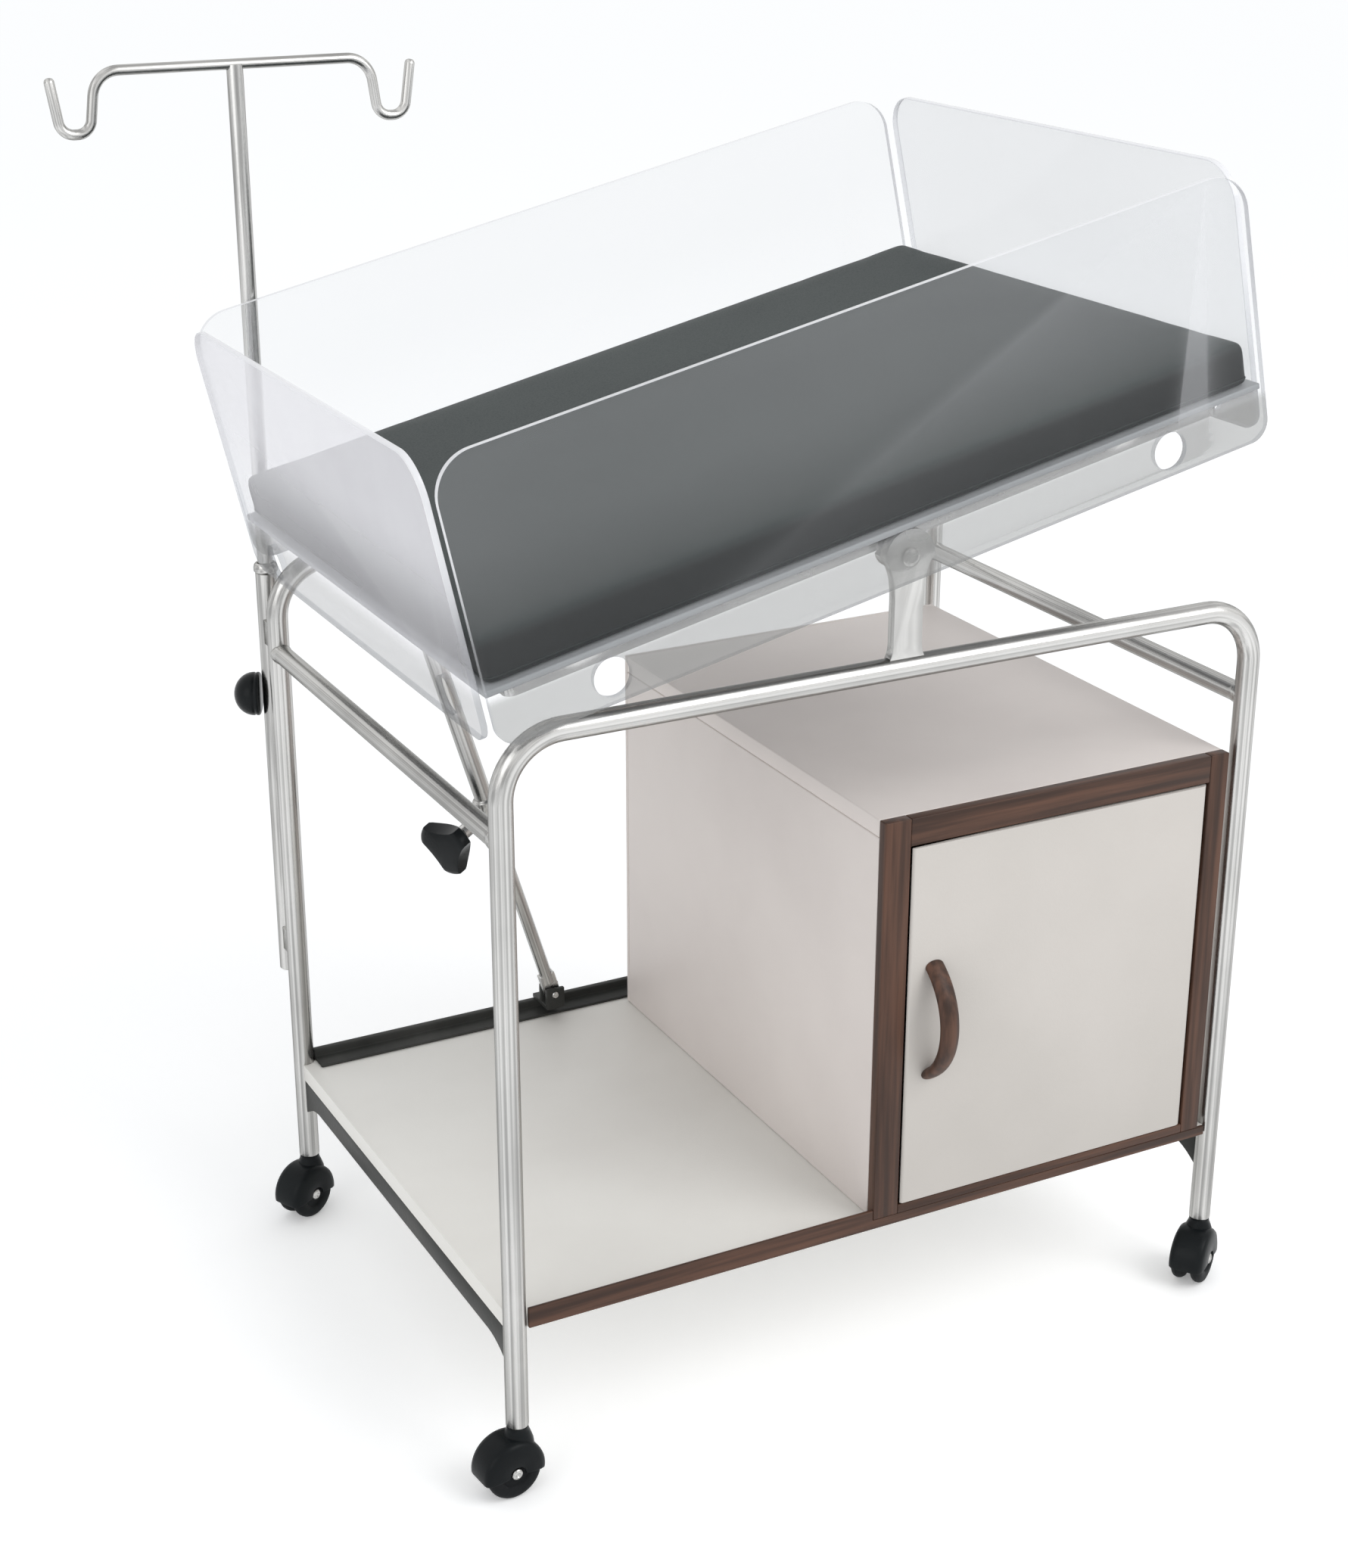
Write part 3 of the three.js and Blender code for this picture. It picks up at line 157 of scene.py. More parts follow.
class Bench:
    """Steps that shape meshes with Blender's own operators."""

    @staticmethod
    def only(obj: Piece) -> None:
        """Select one object and make it active.

        Args:
            obj: The object that the next operator works on.
        """
        bpy.ops.object.select_all(action="DESELECT")
        obj.select_set(True)
        bpy.context.view_layer.objects.active = obj

    @staticmethod
    @contextmanager
    def editing(obj: Piece, part: Part = Part.EDGES) -> Iterator[None]:
        """Work on one object's mesh, with everything selected at the start.

        Args:
            obj: The object to edit.
            part: What selecting picks.

        Returns:
            A context in which edit mode is on.
        """
        Bench.only(obj)
        bpy.ops.object.mode_set(mode="EDIT")
        bpy.ops.mesh.select_mode(type=part.value)
        bpy.ops.mesh.select_all(action="SELECT")
        yield
        bpy.ops.object.mode_set(mode="OBJECT")

    @staticmethod
    def pick(obj: Piece, part: Part, chosen: Callable[[bpy.types.bpy_struct], bool]) -> None:
        """Select only some edges or faces of the object in edit mode.

        Args:
            obj: The object in edit mode.
            part: Whether edges or faces are picked.
            chosen: Takes one of them and says whether it is selected.
        """
        bpy.ops.mesh.select_all(action="DESELECT")
        bpy.ops.object.mode_set(mode="OBJECT")
        for entry in obj.data.polygons if part is Part.FACES else obj.data.edges:
            entry.select = chosen(entry)
        bpy.ops.object.mode_set(mode="EDIT")

    @staticmethod
    def face_outward() -> None:
        """Turn every face of the mesh in edit mode outwards."""
        bpy.ops.mesh.select_all(action="SELECT")
        bpy.ops.mesh.normals_make_consistent(inside=False)

    @staticmethod
    def settle(name: str) -> Piece:
        """Name the new active object and put its place into its mesh.

        Args:
            name: Name of the object and of its mesh.

        Returns:
            The object, at the origin, unturned and unscaled.
        """
        obj = bpy.context.object
        obj.name = name
        obj.data.name = name
        bpy.ops.object.transform_apply(location=True, rotation=True, scale=True)
        return obj

    @staticmethod
    def place(obj: Piece, matrix: Matrix) -> Piece:
        """Move a mesh by a matrix and leave its object at the origin.

        Args:
            obj: The object to move.
            matrix: Where its mesh goes.

        Returns:
            The same object.
        """
        Bench.only(obj)
        obj.matrix_world = matrix
        bpy.ops.object.transform_apply(location=True, rotation=True, scale=True)
        return obj

    @staticmethod
    def twin(shape: Piece, name: str) -> Piece:
        """Copy a finished shape together with its mesh.

        Args:
            shape: The object to copy.
            name: Name of the copy and of its mesh.

        Returns:
            The copy.
        """
        Bench.only(shape)
        bpy.ops.object.duplicate(linked=False)
        return Bench.settle(name)

    @staticmethod
    def block(name: str, low: Sequence[float], high: Sequence[float]) -> Piece:
        """Add a box between two corners.

        Args:
            name: Name of the new object.
            low: Its low corner.
            high: Its high corner.

        Returns:
            The box, with sharp edges.
        """
        centre = [(a + b) / 2 for a, b in zip(low, high)]
        size = [b - a for a, b in zip(low, high)]
        bpy.ops.mesh.primitive_cube_add(size=1.0, location=centre, scale=size)
        return Bench.settle(name)

    @staticmethod
    def turned(
        name: str, profile: Profile, place: Matrix, sweep: float = FULL_TURN, steps: int = 48
    ) -> Piece:
        """Spin a profile about local Z.

        Args:
            name: Name of the new object.
            profile: Radius and height of each point, in order.
            place: Matrix from the local frame to the row's frame.
            sweep: How far the profile turns, from local X towards local Y.
            steps: Number of faces round the sweep.

        Returns:
            The turned object.
        """
        bpy.ops.mesh.primitive_plane_add(size=1.0)
        obj = Bench.settle(name)
        with Bench.editing(obj, Part.CORNERS):
            bpy.ops.mesh.merge(type="CENTER")
            bpy.ops.transform.translate(value=(profile[0][0], 0.0, profile[0][1]))
            for (r0, h0), (r1, h1) in zip(profile, profile[1:]):
                bpy.ops.mesh.extrude_vertices_move(TRANSFORM_OT_translate={"value": (r1 - r0, 0.0, h1 - h0)})
            bpy.ops.mesh.select_all(action="SELECT")
            bpy.ops.mesh.spin(steps=steps, angle=-sweep, center=(0.0, 0.0, 0.0), axis=UP)
            bpy.ops.mesh.select_all(action="SELECT")
            bpy.ops.mesh.remove_doubles(threshold=WELD / 10)
            if sweep < FULL_TURN:
                bpy.ops.mesh.fill_holes(sides=0)
            Bench.face_outward()
        return Bench.place(obj, place)

    @staticmethod
    def swept(
        name: str, corners: Sequence[Vector], bends: Sequence[float], radius: float, sides: int = 40
    ) -> Piece:
        """Draw a round bar along a polyline and bend it at each inner corner.

        Args:
            name: Name of the new object.
            corners: The polyline's points.
            bends: Radius of the bar's middle line at each inner corner.
            radius: Radius of the bar.
            sides: Number of faces round the bar.

        Returns:
            The bent bar with closed ends.
        """
        face_turn, least_faces = math.radians(6), 4
        runs = [b - a for a, b in zip(corners, corners[1:])]
        turns = [a.angle(b) for a, b in zip(runs, runs[1:])]
        setback = [0.0] + [bend * math.tan(turn / 2) for bend, turn in zip(bends, turns)] + [0.0]
        rotation = runs[0].to_track_quat("Z", "Y").to_euler()
        ring = {"vertices": sides, "radius": radius}
        bpy.ops.mesh.primitive_circle_add(location=corners[0], rotation=rotation, **ring)
        obj = Bench.settle(name)
        with Bench.editing(obj):
            for index, run in enumerate(runs):
                straight = run.normalized() * (run.length - setback[index] - setback[index + 1])
                bpy.ops.mesh.extrude_edges_move(TRANSFORM_OT_translate={"value": straight})
                if index + 1 < len(runs):
                    axis = run.cross(runs[index + 1].normalized()).normalized()
                    start = corners[index + 1] - run.normalized() * setback[index + 1]
                    centre = start + axis.cross(run).normalized() * bends[index]
                    steps = max(least_faces, round(turns[index] / face_turn))
                    bpy.ops.mesh.spin(steps=steps, angle=-turns[index], center=centre, axis=axis)
            bpy.ops.mesh.select_all(action="SELECT")
            bpy.ops.mesh.fill_holes(sides=0)
            Bench.face_outward()
        return obj

    @staticmethod
    def copied(name: str, node: str) -> Piece:
        """Copy a CAD node's mesh, with its facets joined into whole faces.

        Args:
            name: Name of the new object.
            node: The CAD node.

        Returns:
            The copy, without materials.
        """
        one_face = math.radians(0.6)
        obj = bpy.data.objects.new(name, frame["nodes"][node].data.copy())
        obj.data.name = name
        obj.data.materials.clear()
        bpy.context.collection.objects.link(obj)
        with Bench.editing(obj):
            bpy.ops.mesh.remove_doubles(threshold=WELD)
            bpy.ops.mesh.dissolve_limited(angle_limit=one_face)
            Bench.face_outward()
        return obj

    @staticmethod
    def apply(obj: Piece, kind: str, **settings: object) -> None:
        """Add one modifier with its settings and apply it.

        Args:
            obj: The object to change.
            kind: The modifier's type.
            **settings: Values set on the modifier.
        """
        Bench.only(obj)
        modifier = obj.modifiers.new(kind.title(), kind)
        for key, value in settings.items():
            setattr(modifier, key, value)
        bpy.ops.object.modifier_apply(modifier=modifier.name)

    @staticmethod
    def bevel(obj: Piece, width: float, segments: int = 3, angle: float = 30.0) -> None:
        """Round every edge sharper than an angle.

        Args:
            obj: The object to change.
            width: Width of the rounding.
            segments: Number of faces in each rounding.
            angle: The angle in degrees.
        """
        sharp = {"limit_method": "ANGLE", "angle_limit": math.radians(angle)}
        Bench.apply(obj, "BEVEL", width=width, segments=segments, use_clamp_overlap=True, **sharp)

    @staticmethod
    def combine(obj: Piece, other: Piece, meet: Meet) -> None:
        """Cut one mesh by another or fuse them; the other is used up."""
        Bench.apply(obj, "BOOLEAN", operation=meet.value, solver="EXACT", object=other)
        bpy.data.objects.remove(other, do_unlink=True)

    @staticmethod
    def drill(obj: Piece, centre: Vector, reach: Vector, radius: float, sides: int = 48) -> None:
        """Cut a round hole through an object.

        Args:
            obj: The object to cut.
            centre: The middle of the drill.
            reach: From there to the drill's end, both ways.
            radius: Radius of the hole.
            sides: Number of faces round the hole.
        """
        turn = reach.to_track_quat("Z", "Y").to_euler()
        size = {"vertices": sides, "radius": radius, "depth": 2 * reach.length}
        bpy.ops.mesh.primitive_cylinder_add(location=centre, rotation=turn, **size)
        Bench.combine(obj, Bench.settle("drill"), Meet.CUT)

    @staticmethod
    def join(obj: Piece, others: Sequence[Piece]) -> Piece:
        """Put several meshes into the first one's object.

        Args:
            obj: The object that stays.
            others: The objects that are used up.

        Returns:
            The object that stays.
        """
        Bench.only(obj)
        for other in others:
            other.select_set(True)
        bpy.ops.object.join()
        return obj

    @staticmethod
    def round_edges(
        obj: Piece, chosen: Callable[[Vector, Vector], bool], radius: float, segments: int
    ) -> None:
        """Round the edges that a test picks.

        Args:
            obj: The object to change.
            chosen: Takes an edge's two ends and says whether it is rounded.
            radius: Radius of the rounding.
            segments: Number of faces in each rounding.
        """
        places = [vertex.co.copy() for vertex in obj.data.vertices]
        with Bench.editing(obj):
            Bench.pick(obj, Part.EDGES, lambda edge: chosen(*(places[index] for index in edge.vertices)))
            bpy.ops.mesh.bevel(offset=radius, segments=segments, affect="EDGES")

    @staticmethod
    def smooth(obj: Piece, angle: float = 32.0) -> None:
        """Shade smooth across edges flatter than an angle in degrees."""
        Bench.only(obj)
        bpy.ops.object.shade_smooth_by_angle(angle=math.radians(angle))


class Wire:
    """A shader value that takes part in arithmetic."""

    def __init__(self, shop: "NodeShop", socket: bpy.types.NodeSocket) -> None:
        """Keep an output socket and the shop that its node stands in."""
        self.shop = shop
        self.socket = socket

    def __add__(self, other: "Wire | float") -> "Wire":
        """Add a value."""
        return self.shop.math("ADD", self, other)

    def __mul__(self, other: "Wire | float") -> "Wire":
        """Multiply by a value."""
        return self.shop.math("MULTIPLY", self, other)

    def __sub__(self, other: "Wire | float") -> "Wire":
        """Take a value away."""
        return self.shop.math("SUBTRACT", self, other)

    def __rsub__(self, other: float) -> "Wire":
        """Take this from a number."""
        return self.shop.math("SUBTRACT", other, self)

    __radd__ = __add__
    __rmul__ = __mul__

    def between(self, low: float, high: float) -> "Wire":
        """Rise smoothly from 0 at one value to 1 at another."""
        smooth = {"interpolation_type": "SMOOTHSTEP"}
        return self.shop.wire("ShaderNodeMapRange", smooth, {0: self, 1: low, 2: high})


class NodeShop:
    """Makes and wires the nodes of one material or of the world."""

    def __init__(self, name: str, tree: bpy.types.NodeTree | None = None) -> None:
        """Start an empty node tree.

        Args:
            name: Name of the new material.
            tree: A tree to use in place of a new material's.
        """
        if tree is None:
            self.material = bpy.data.materials.new(name)
            self.material.use_nodes = True
            tree = self.material.node_tree
        self.tree = tree
        self.tree.nodes.clear()

    def node(self, kind: str, settings: dict | None = None, inputs: dict | None = None) -> bpy.types.Node:
        """Add a node.

        Args:
            kind: The node's type.
            settings: Values set on the node itself.
            inputs: Values or wires for its inputs, by name or number.

        Returns:
            The new node.
        """
        node = self.tree.nodes.new(kind)
        for key, value in (settings or {}).items():
            setattr(node, key, value)
        for key, value in (inputs or {}).items():
            if isinstance(value, Wire):
                self.tree.links.new(value.socket, node.inputs[key])
            else:
                node.inputs[key].default_value = value
        return node

    def wire(
        self, kind: str, settings: dict | None = None, inputs: dict | None = None, output: int | str = 0
    ) -> Wire:
        """Add a node and return one of its outputs, by name or number."""
        return Wire(self, self.node(kind, settings, inputs).outputs[output])

    def math(self, operation: str, first: Wire | float, second: Wire | float) -> Wire:
        """Work out one sum."""
        return self.wire("ShaderNodeMath", {"operation": operation}, {0: first, 1: second})

    def place(self, stretch: Point = (1.0, 1.0, 1.0)) -> Wire:
        """Return object coordinates, scaled along each axis."""
        source = self.wire("ShaderNodeTexCoord", output="Object")
        return self.wire("ShaderNodeMapping", inputs={"Vector": source, "Scale": stretch})

    def noise(self, scale: float, detail: Detail, source: Wire | None = None) -> Wire:
        """Return cloudy noise about one half, over object coordinates or another place."""
        inputs = {"Vector": source or self.place(), "Scale": scale, "Detail": detail.value}
        return self.wire("ShaderNodeTexNoise", inputs=inputs)

    def cells(self, scale: float) -> Wire:
        """Return the distance to the nearest of many scattered points."""
        inputs = {"Vector": self.place(), "Scale": scale}
        return self.wire("ShaderNodeTexVoronoi", inputs=inputs, output="Distance")

    def attribute(self, name: str, output: str = "Fac") -> Wire:
        """Read a number or a vector stored on the mesh."""
        return self.wire("ShaderNodeAttribute", {"attribute_name": name}, output=output)

    def along(self, direction: Sequence[float], origin: Sequence[float]) -> Wire:
        """Measure distance along a direction from a point.

        Args:
            direction: The direction, of length one.
            origin: The point where the distance is zero.

        Returns:
            The distance.
        """
        inputs = {0: self.place(), 1: tuple(direction)}
        reach = self.wire("ShaderNodeVectorMath", {"operation": "DOT_PRODUCT"}, inputs, "Value")
        return reach - Vector(direction).dot(Vector(origin))

    def blend(self, factor: Wire, first: Wire | Colour, second: Wire | Colour) -> Wire:
        """Mix two colours."""
        return self.wire("ShaderNodeMix", {"data_type": "RGBA"}, {0: factor, 6: first, 7: second}, 2)

    def bump(self, height: Wire, distance: float) -> Wire:
        """Turn a height into a normal."""
        inputs = {"Height": height, "Distance": distance, "Strength": 1.0}
        return self.wire("ShaderNodeBump", inputs=inputs)

    def principled(self, **inputs: object) -> Wire:
        """Add the main surface shader, with input names joined by underscores."""
        named = {key.replace("_", " "): value for key, value in inputs.items()}
        return self.wire("ShaderNodeBsdfPrincipled", inputs=named)

    def mixed(self, share: Wire, first: Wire, second: Wire) -> Wire:
        """Mix two shaders by the second one's share."""
        return self.wire("ShaderNodeMixShader", inputs={0: share, 1: first, 2: second})

    def finish(self, shader: Wire) -> bpy.types.Material:
        """Wire the shader to the output and return the material."""
        self.node("ShaderNodeOutputMaterial", inputs={"Surface": shader})
        return self.material


@dataclass(frozen=True)
class PolishedSteel:
    """Bright drawn tube with faint handling marks, and painted reflection bands, keyed to the surface's
    direction, that run along it.
    """

    light: Colour = (0.66, 0.655, 0.64, 1.0)
    dull: Colour = (0.33, 0.327, 0.32, 1.0)
    edge: Colour = (0.55, 0.55, 0.54, 1.0)
    contrast: Span = (0.36, 0.62)
    roughness: float = 0.15
    mark_scale: float = 7.0
    mark_share: float = 0.25
    mark_roughness: float = 0.12
    # Scale and roughness of the painted reflection bands.
    band_scale: float = 3.2
    band_roughness: float = 0.1
    grain_scale: float = 340.0
    grain_depth: float = 0.00006

    def material(self) -> bpy.types.Material:
        """Build the material.

        Returns:
            The new material.
        """
        shop = NodeShop("polished_steel")
        marks = shop.noise(self.mark_scale, Detail.BROAD)
        grain = shop.noise(self.grain_scale, Detail.FINE)
        # Painted reflection: grey bands follow the stored normals, so they run along each tube.
        reflection_bands = shop.noise(self.band_scale, Detail.STREAKY, shop.attribute("reflection_normal", "Vector"))
        tone = reflection_bands * (1.0 - self.mark_share) + marks * self.mark_share
        return shop.finish(
            shop.principled(
                Base_Color=shop.blend(tone.between(*self.contrast), self.dull, self.light),
                Metallic=1.0,
                Roughness=self.roughness + marks * self.mark_roughness + reflection_bands * self.band_roughness,
                Specular_Tint=self.edge,
                Normal=shop.bump(grain, self.grain_depth),
            )
        )


@dataclass(frozen=True)
class Laminate:
    """Off-white board with a fine moulded texture and soft staining."""

    name: str
    light: Colour
    shade: Colour
    roughness: float = 0.4
    contrast: Span = (0.25, 0.75)
    cloud_scale: float = 3.4
    cloud_roughness: float = 0.1
    pearl_scale: float = 620.0
    pearl_roughness: float = 0.08
    pearl_depth: float = 0.00012
    gloss: float = 0.35

    def material(self) -> bpy.types.Material:
        """Build the material.

        Returns:
            The new material.
        """
        shop = NodeShop(self.name)
        cloud = shop.noise(self.cloud_scale, Detail.BROAD)
        pearl = shop.noise(self.pearl_scale, Detail.FINE)
        return shop.finish(
            shop.principled(
                Base_Color=shop.blend(cloud.between(*self.contrast), self.light, self.shade),
                Roughness=self.roughness + cloud * self.cloud_roughness + pearl * self.pearl_roughness,
                Normal=shop.bump(pearl, self.pearl_depth),
                Specular_IOR_Level=self.gloss,
            )
        )


@dataclass(frozen=True)
class WoodEdging:
    """Brown edging with streaks that run along each strip."""

    dark: Colour = (0.037, 0.018, 0.0115, 1.0)
    red: Colour = (0.112, 0.053, 0.033, 1.0)
    contrast: Span = (0.32, 0.72)
    roughness: float = 0.38
    lengthwise: float = 5.0
    crosswise: float = 130.0
    streak_roughness: float = 0.15
    streak_depth: float = 0.0002
    gloss: float = 0.3

    def material(self) -> bpy.types.Material:
        """Build the material.

        Returns:
            The new material.
        """
        shop = NodeShop("brown_edging")
        long, close = self.lengthwise, self.crosswise
        level = shop.noise(1.0, Detail.STREAKY, shop.place((long, close, close)))
        upright = shop.noise(1.0, Detail.STREAKY, shop.place((close, close, long)))
        turn = shop.attribute("upright")
        streak = level * (1.0 - turn) + upright * turn
        return shop.finish(
            shop.principled(
                Base_Color=shop.blend(streak.between(*self.contrast), self.dark, self.red),
                Roughness=self.roughness + streak * self.streak_roughness,
                Normal=shop.bump(streak, self.streak_depth),
                Specular_IOR_Level=self.gloss,
            )
        )


@dataclass(frozen=True)
class Paint:
    """Dark coating or moulding with a fine hammered grain."""

    name: str
    base: Colour
    worn: Colour
    roughness: float
    grain_scale: float
    grain_depth: float
    contrast: Span = (0.3, 0.75)
    patch_scale: float = 11.0
    patch_roughness: float = 0.12
    gloss: float = 0.11

    def material(self) -> bpy.types.Material:
        """Build the material.

        Returns:
            The new material.
        """
        shop = NodeShop(self.name)
        patch = shop.noise(self.patch_scale, Detail.BROAD)
        grain = shop.noise(self.grain_scale, Detail.FINE)
        return shop.finish(
            shop.principled(
                Base_Color=shop.blend(patch.between(*self.contrast), self.base, self.worn),
                Roughness=self.roughness + patch * self.patch_roughness,
                Normal=shop.bump(grain, self.grain_depth),
                Specular_IOR_Level=self.gloss,
            )
        )


@dataclass(frozen=True)
class VinylCover:
    """Charcoal coated cloth with a leather-like grain, and painted shade that darkens its sides."""

    base: Colour = (0.026, 0.034, 0.034, 1.0)
    pale: Colour = (0.045, 0.055, 0.054, 1.0)
    # Colour of the painted shade on the cover's steep sides.
    side: Colour = (0.007, 0.009, 0.009, 1.0)
    contrast: Span = (0.3, 0.75)
    roughness: float = 0.42
    cloud_scale: float = 5.0
    cloud_roughness: float = 0.1
    pebble_scale: float = 520.0
    pebble_roughness: float = 0.12
    fine_scale: float = 1300.0
    fine_share: float = 0.2
    fine_height: float = 0.4
    grain_depth: float = 0.00004
    gloss: float = 0.25

    def material(self) -> bpy.types.Material:
        """Build the material.

        Returns:
            The new material.
        """
        shop = NodeShop("vinyl_cover")
        cloud = shop.noise(self.cloud_scale, Detail.SOFT)
        pebble = shop.cells(self.pebble_scale)
        fine = shop.noise(self.fine_scale, Detail.FINE)
        tone = cloud.between(*self.contrast) * (1.0 - self.fine_share) + fine * self.fine_share
        panel = shop.blend(tone, self.base, self.pale)
        # The steep sides blend into the painted shade colour.
        return shop.finish(
            shop.principled(
                Base_Color=shop.blend(shop.attribute("side_shade"), panel, self.side),
                Roughness=self.roughness + cloud * self.cloud_roughness + pebble * self.pebble_roughness,
                Normal=shop.bump(pebble + fine * self.fine_height, self.grain_depth),
                Specular_IOR_Level=self.gloss,
            )
        )


@dataclass(frozen=True)
class ClearSheet:
    """Clear acrylic: a pale veil thins towards the mattress, and painted shade greys the skirt below the
    floor.
    """

    name: str
    tint: Colour
    milk: Colour
    veil: float
    skirt: float = 0.0
    # Grey of the painted shade in the skirt.
    shade: Colour = (0.37, 0.37, 0.36, 1.0)
    skirt_fade: Span = (0.024, 0.036)
    haze_rise: Span = (0.06, 0.17)
    haze_least: float = 0.25
    smear_scale: float = 4.0
    smear_least: float = 0.7
    smear_swing: float = 0.6
    roughness: float = 0.04
    smear_roughness: float = 0.08
    gloss: float = 0.6
    refraction: float = 1.45
    glance_share: float = 0.24

    def material(self) -> bpy.types.Material:
        """Build the material, with heights measured square to the tilted floor from its pivot.

        Returns:
            The new material.
        """
        shop = NodeShop(self.name)
        smear = shop.noise(self.smear_scale, Detail.BROAD)
        level = shop.along(joint("mattress_lift")["axis"], joint("tub_tilt")["pos_m"])
        # The skirt below the floor, which takes the painted shade.
        below = 1.0 - level.between(*self.skirt_fade)
        haze = level.between(*self.haze_rise) * (1.0 - self.haze_least) + self.haze_least
        glance = shop.wire("ShaderNodeFresnel", inputs={"IOR": self.refraction})
        clear = shop.wire("ShaderNodeBsdfTransparent", inputs={"Color": self.tint})
        body = shop.principled(
            Base_Color=shop.blend(below, self.milk, self.shade),
            Roughness=self.roughness + smear * self.smear_roughness,
            Specular_IOR_Level=self.gloss,
        )
        veil = (smear * self.smear_swing + self.smear_least) * haze * self.veil
        share = veil + below * self.skirt + glance * self.glance_share
        return shop.finish(shop.mixed(share, clear, body))


class Paints:
    """The material of every slot, and of the pieces that differ from their slot's."""

    def __init__(self) -> None:
        """Build every material once."""
        black: Colour = (0.007, 0.0085, 0.0095, 1.0)
        white: Colour = (0.90, 0.90, 0.92, 1.0)
        finishes = {
            Slot.STEEL: PolishedSteel(),
            Slot.LAMINATE: Laminate("pale_laminate", (0.83, 0.815, 0.775, 1.0), (0.76, 0.74, 0.70, 1.0)),
            Slot.DOOR: Laminate("door_laminate", (0.60, 0.565, 0.53, 1.0), (0.535, 0.505, 0.47, 1.0)),
            Slot.BROWN: WoodEdging(),
            Slot.RAIL: Paint(
                "rail_paint",
                base=(0.030, 0.031, 0.029, 1.0),
                worn=(0.062, 0.062, 0.058, 1.0),
                roughness=0.36,
                grain_scale=260.0,
                grain_depth=0.00015,
            ),
            Slot.ACRYLIC: ClearSheet("clear_sheet", (0.975, 0.978, 0.98, 1.0), white, veil=0.034, skirt=0.36),
            # The tub floor's mid grey is painted shade where it lies under the mattress.
            Slot.FLOOR: Laminate("tub_floor_shade_grey", (0.42, 0.43, 0.44, 1.0), (0.35, 0.36, 0.37, 1.0), 0.3),
            Slot.VINYL: VinylCover(),
            Slot.BLACK: Paint(
                "black_moulding",
                base=black,
                worn=(0.013, 0.015, 0.016, 1.0),
                roughness=0.18,
                grain_scale=480.0,
                grain_depth=0.00006,
            ),
            Slot.CASTOR: Paint(
                "castor_moulding",
                base=black,
                worn=(0.012, 0.0145, 0.0155, 1.0),
                roughness=0.26,
                grain_scale=420.0,
                grain_depth=0.0001,
            ),
            Slot.RUBBER: Paint(
                "tread_rubber",
                base=(0.009, 0.010, 0.011, 1.0),
                worn=(0.017, 0.019, 0.020, 1.0),
                roughness=0.5,
                grain_scale=300.0,
                grain_depth=0.0002,
            ),
        }
        self.of = {slot: finish.material() for slot, finish in finishes.items()}
        # The cabinet's boards take a darker, pinker copy of the pale laminate; its darkness is painted shade.
        cabinet = Laminate("cabinet_shaded_laminate", (0.785, 0.725, 0.69, 1.0), (0.70, 0.64, 0.61, 1.0))
        lilac: Colour = (0.93, 0.92, 0.95, 1.0)
        head = ClearSheet("head_sheet", (0.97, 0.97, 0.975, 1.0), lilac, veil=0.36, skirt=0.05)
        edge = ClearSheet("sheet_edge", (0.8, 0.81, 0.83, 1.0), white, veil=0.75)
        self.cabinet, self.head_sheet, self.sheet_edge = (part.material() for part in (cabinet, head, edge))


@dataclass
class Assembly:
    """A group of pieces that are shaped, finished and reported together."""

    paints: Paints

    def build(self) -> None:
        """Shape and dress every piece of the group."""
        raise NotImplementedError

    def dress(self, piece: Piece, slot: Slot, body: str, *nodes: str) -> Piece:
        """Finish one piece and tie it to the frame.

        Args:
            piece: The shaped piece.
            slot: The record's material slot that it takes its finish from.
            body: The CAD body that it moves with.
            *nodes: The CAD nodes that it stands for.

        Returns:
            The same piece.
        """
        if not piece.data.materials:
            piece.data.materials.append(self.paints.of[slot])
        if slot is Slot.STEEL:
            # Steel keeps its normals, which key its painted reflection bands.
            normals = [part for vertex in piece.data.vertices for part in vertex.normal]
            reflection_normal = piece.data.attributes.new("reflection_normal", "FLOAT_VECTOR", "POINT")
            reflection_normal.data.foreach_set("vector", normals)
        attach(piece, body)
        if nodes:
            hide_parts(*nodes)
        log.info("%s: %d faces on %s", piece.name, len(piece.data.polygons), body)
        return piece

    @staticmethod
    def streak(piece: Piece, run: Run) -> None:
        """Set the way the streaks of brown edging run on a piece."""
        upright = piece.data.attributes.new("upright", "FLOAT", "FACE")
        upright.data.foreach_set("value", [run.value] * len(piece.data.polygons))

    def refined(self, node: str, slot: Slot, body: str, width: float) -> Piece:
        """Stand a CAD node's shape in with rounded edges.

        Args:
            node: The CAD node.
            slot: The record's material slot.
            body: The CAD body that it moves with.
            width: Width of the rounding.

        Returns:
            The finished piece.
        """
        piece = Bench.copied(f"{node}_finished", node)
        Bench.bevel(piece, width)
        Bench.smooth(piece)
        return self.dress(piece, slot, body, node)

    def pin(self, node: str, body: str, radius: float, direction: Vector) -> Piece:
        """Turn a plain pin with chamfered ends in the place of a CAD node.

        Args:
            node: The CAD node.
            body: The CAD body that it moves with.
            radius: Radius of the pin.
            direction: Where the pin points.

        Returns:
            The finished pin.
        """
        low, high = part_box(node)
        half = (high - low).dot(direction) / 2
        profile = chamfered(radius, -half, half, radius * PIN_EDGE)
        piece = Bench.turned(f"{node}_turned", profile, facing((low + high) / 2, direction), steps=PIN_SIDES)
        Bench.smooth(piece)
        return self.dress(piece, Slot.STEEL, body, node)


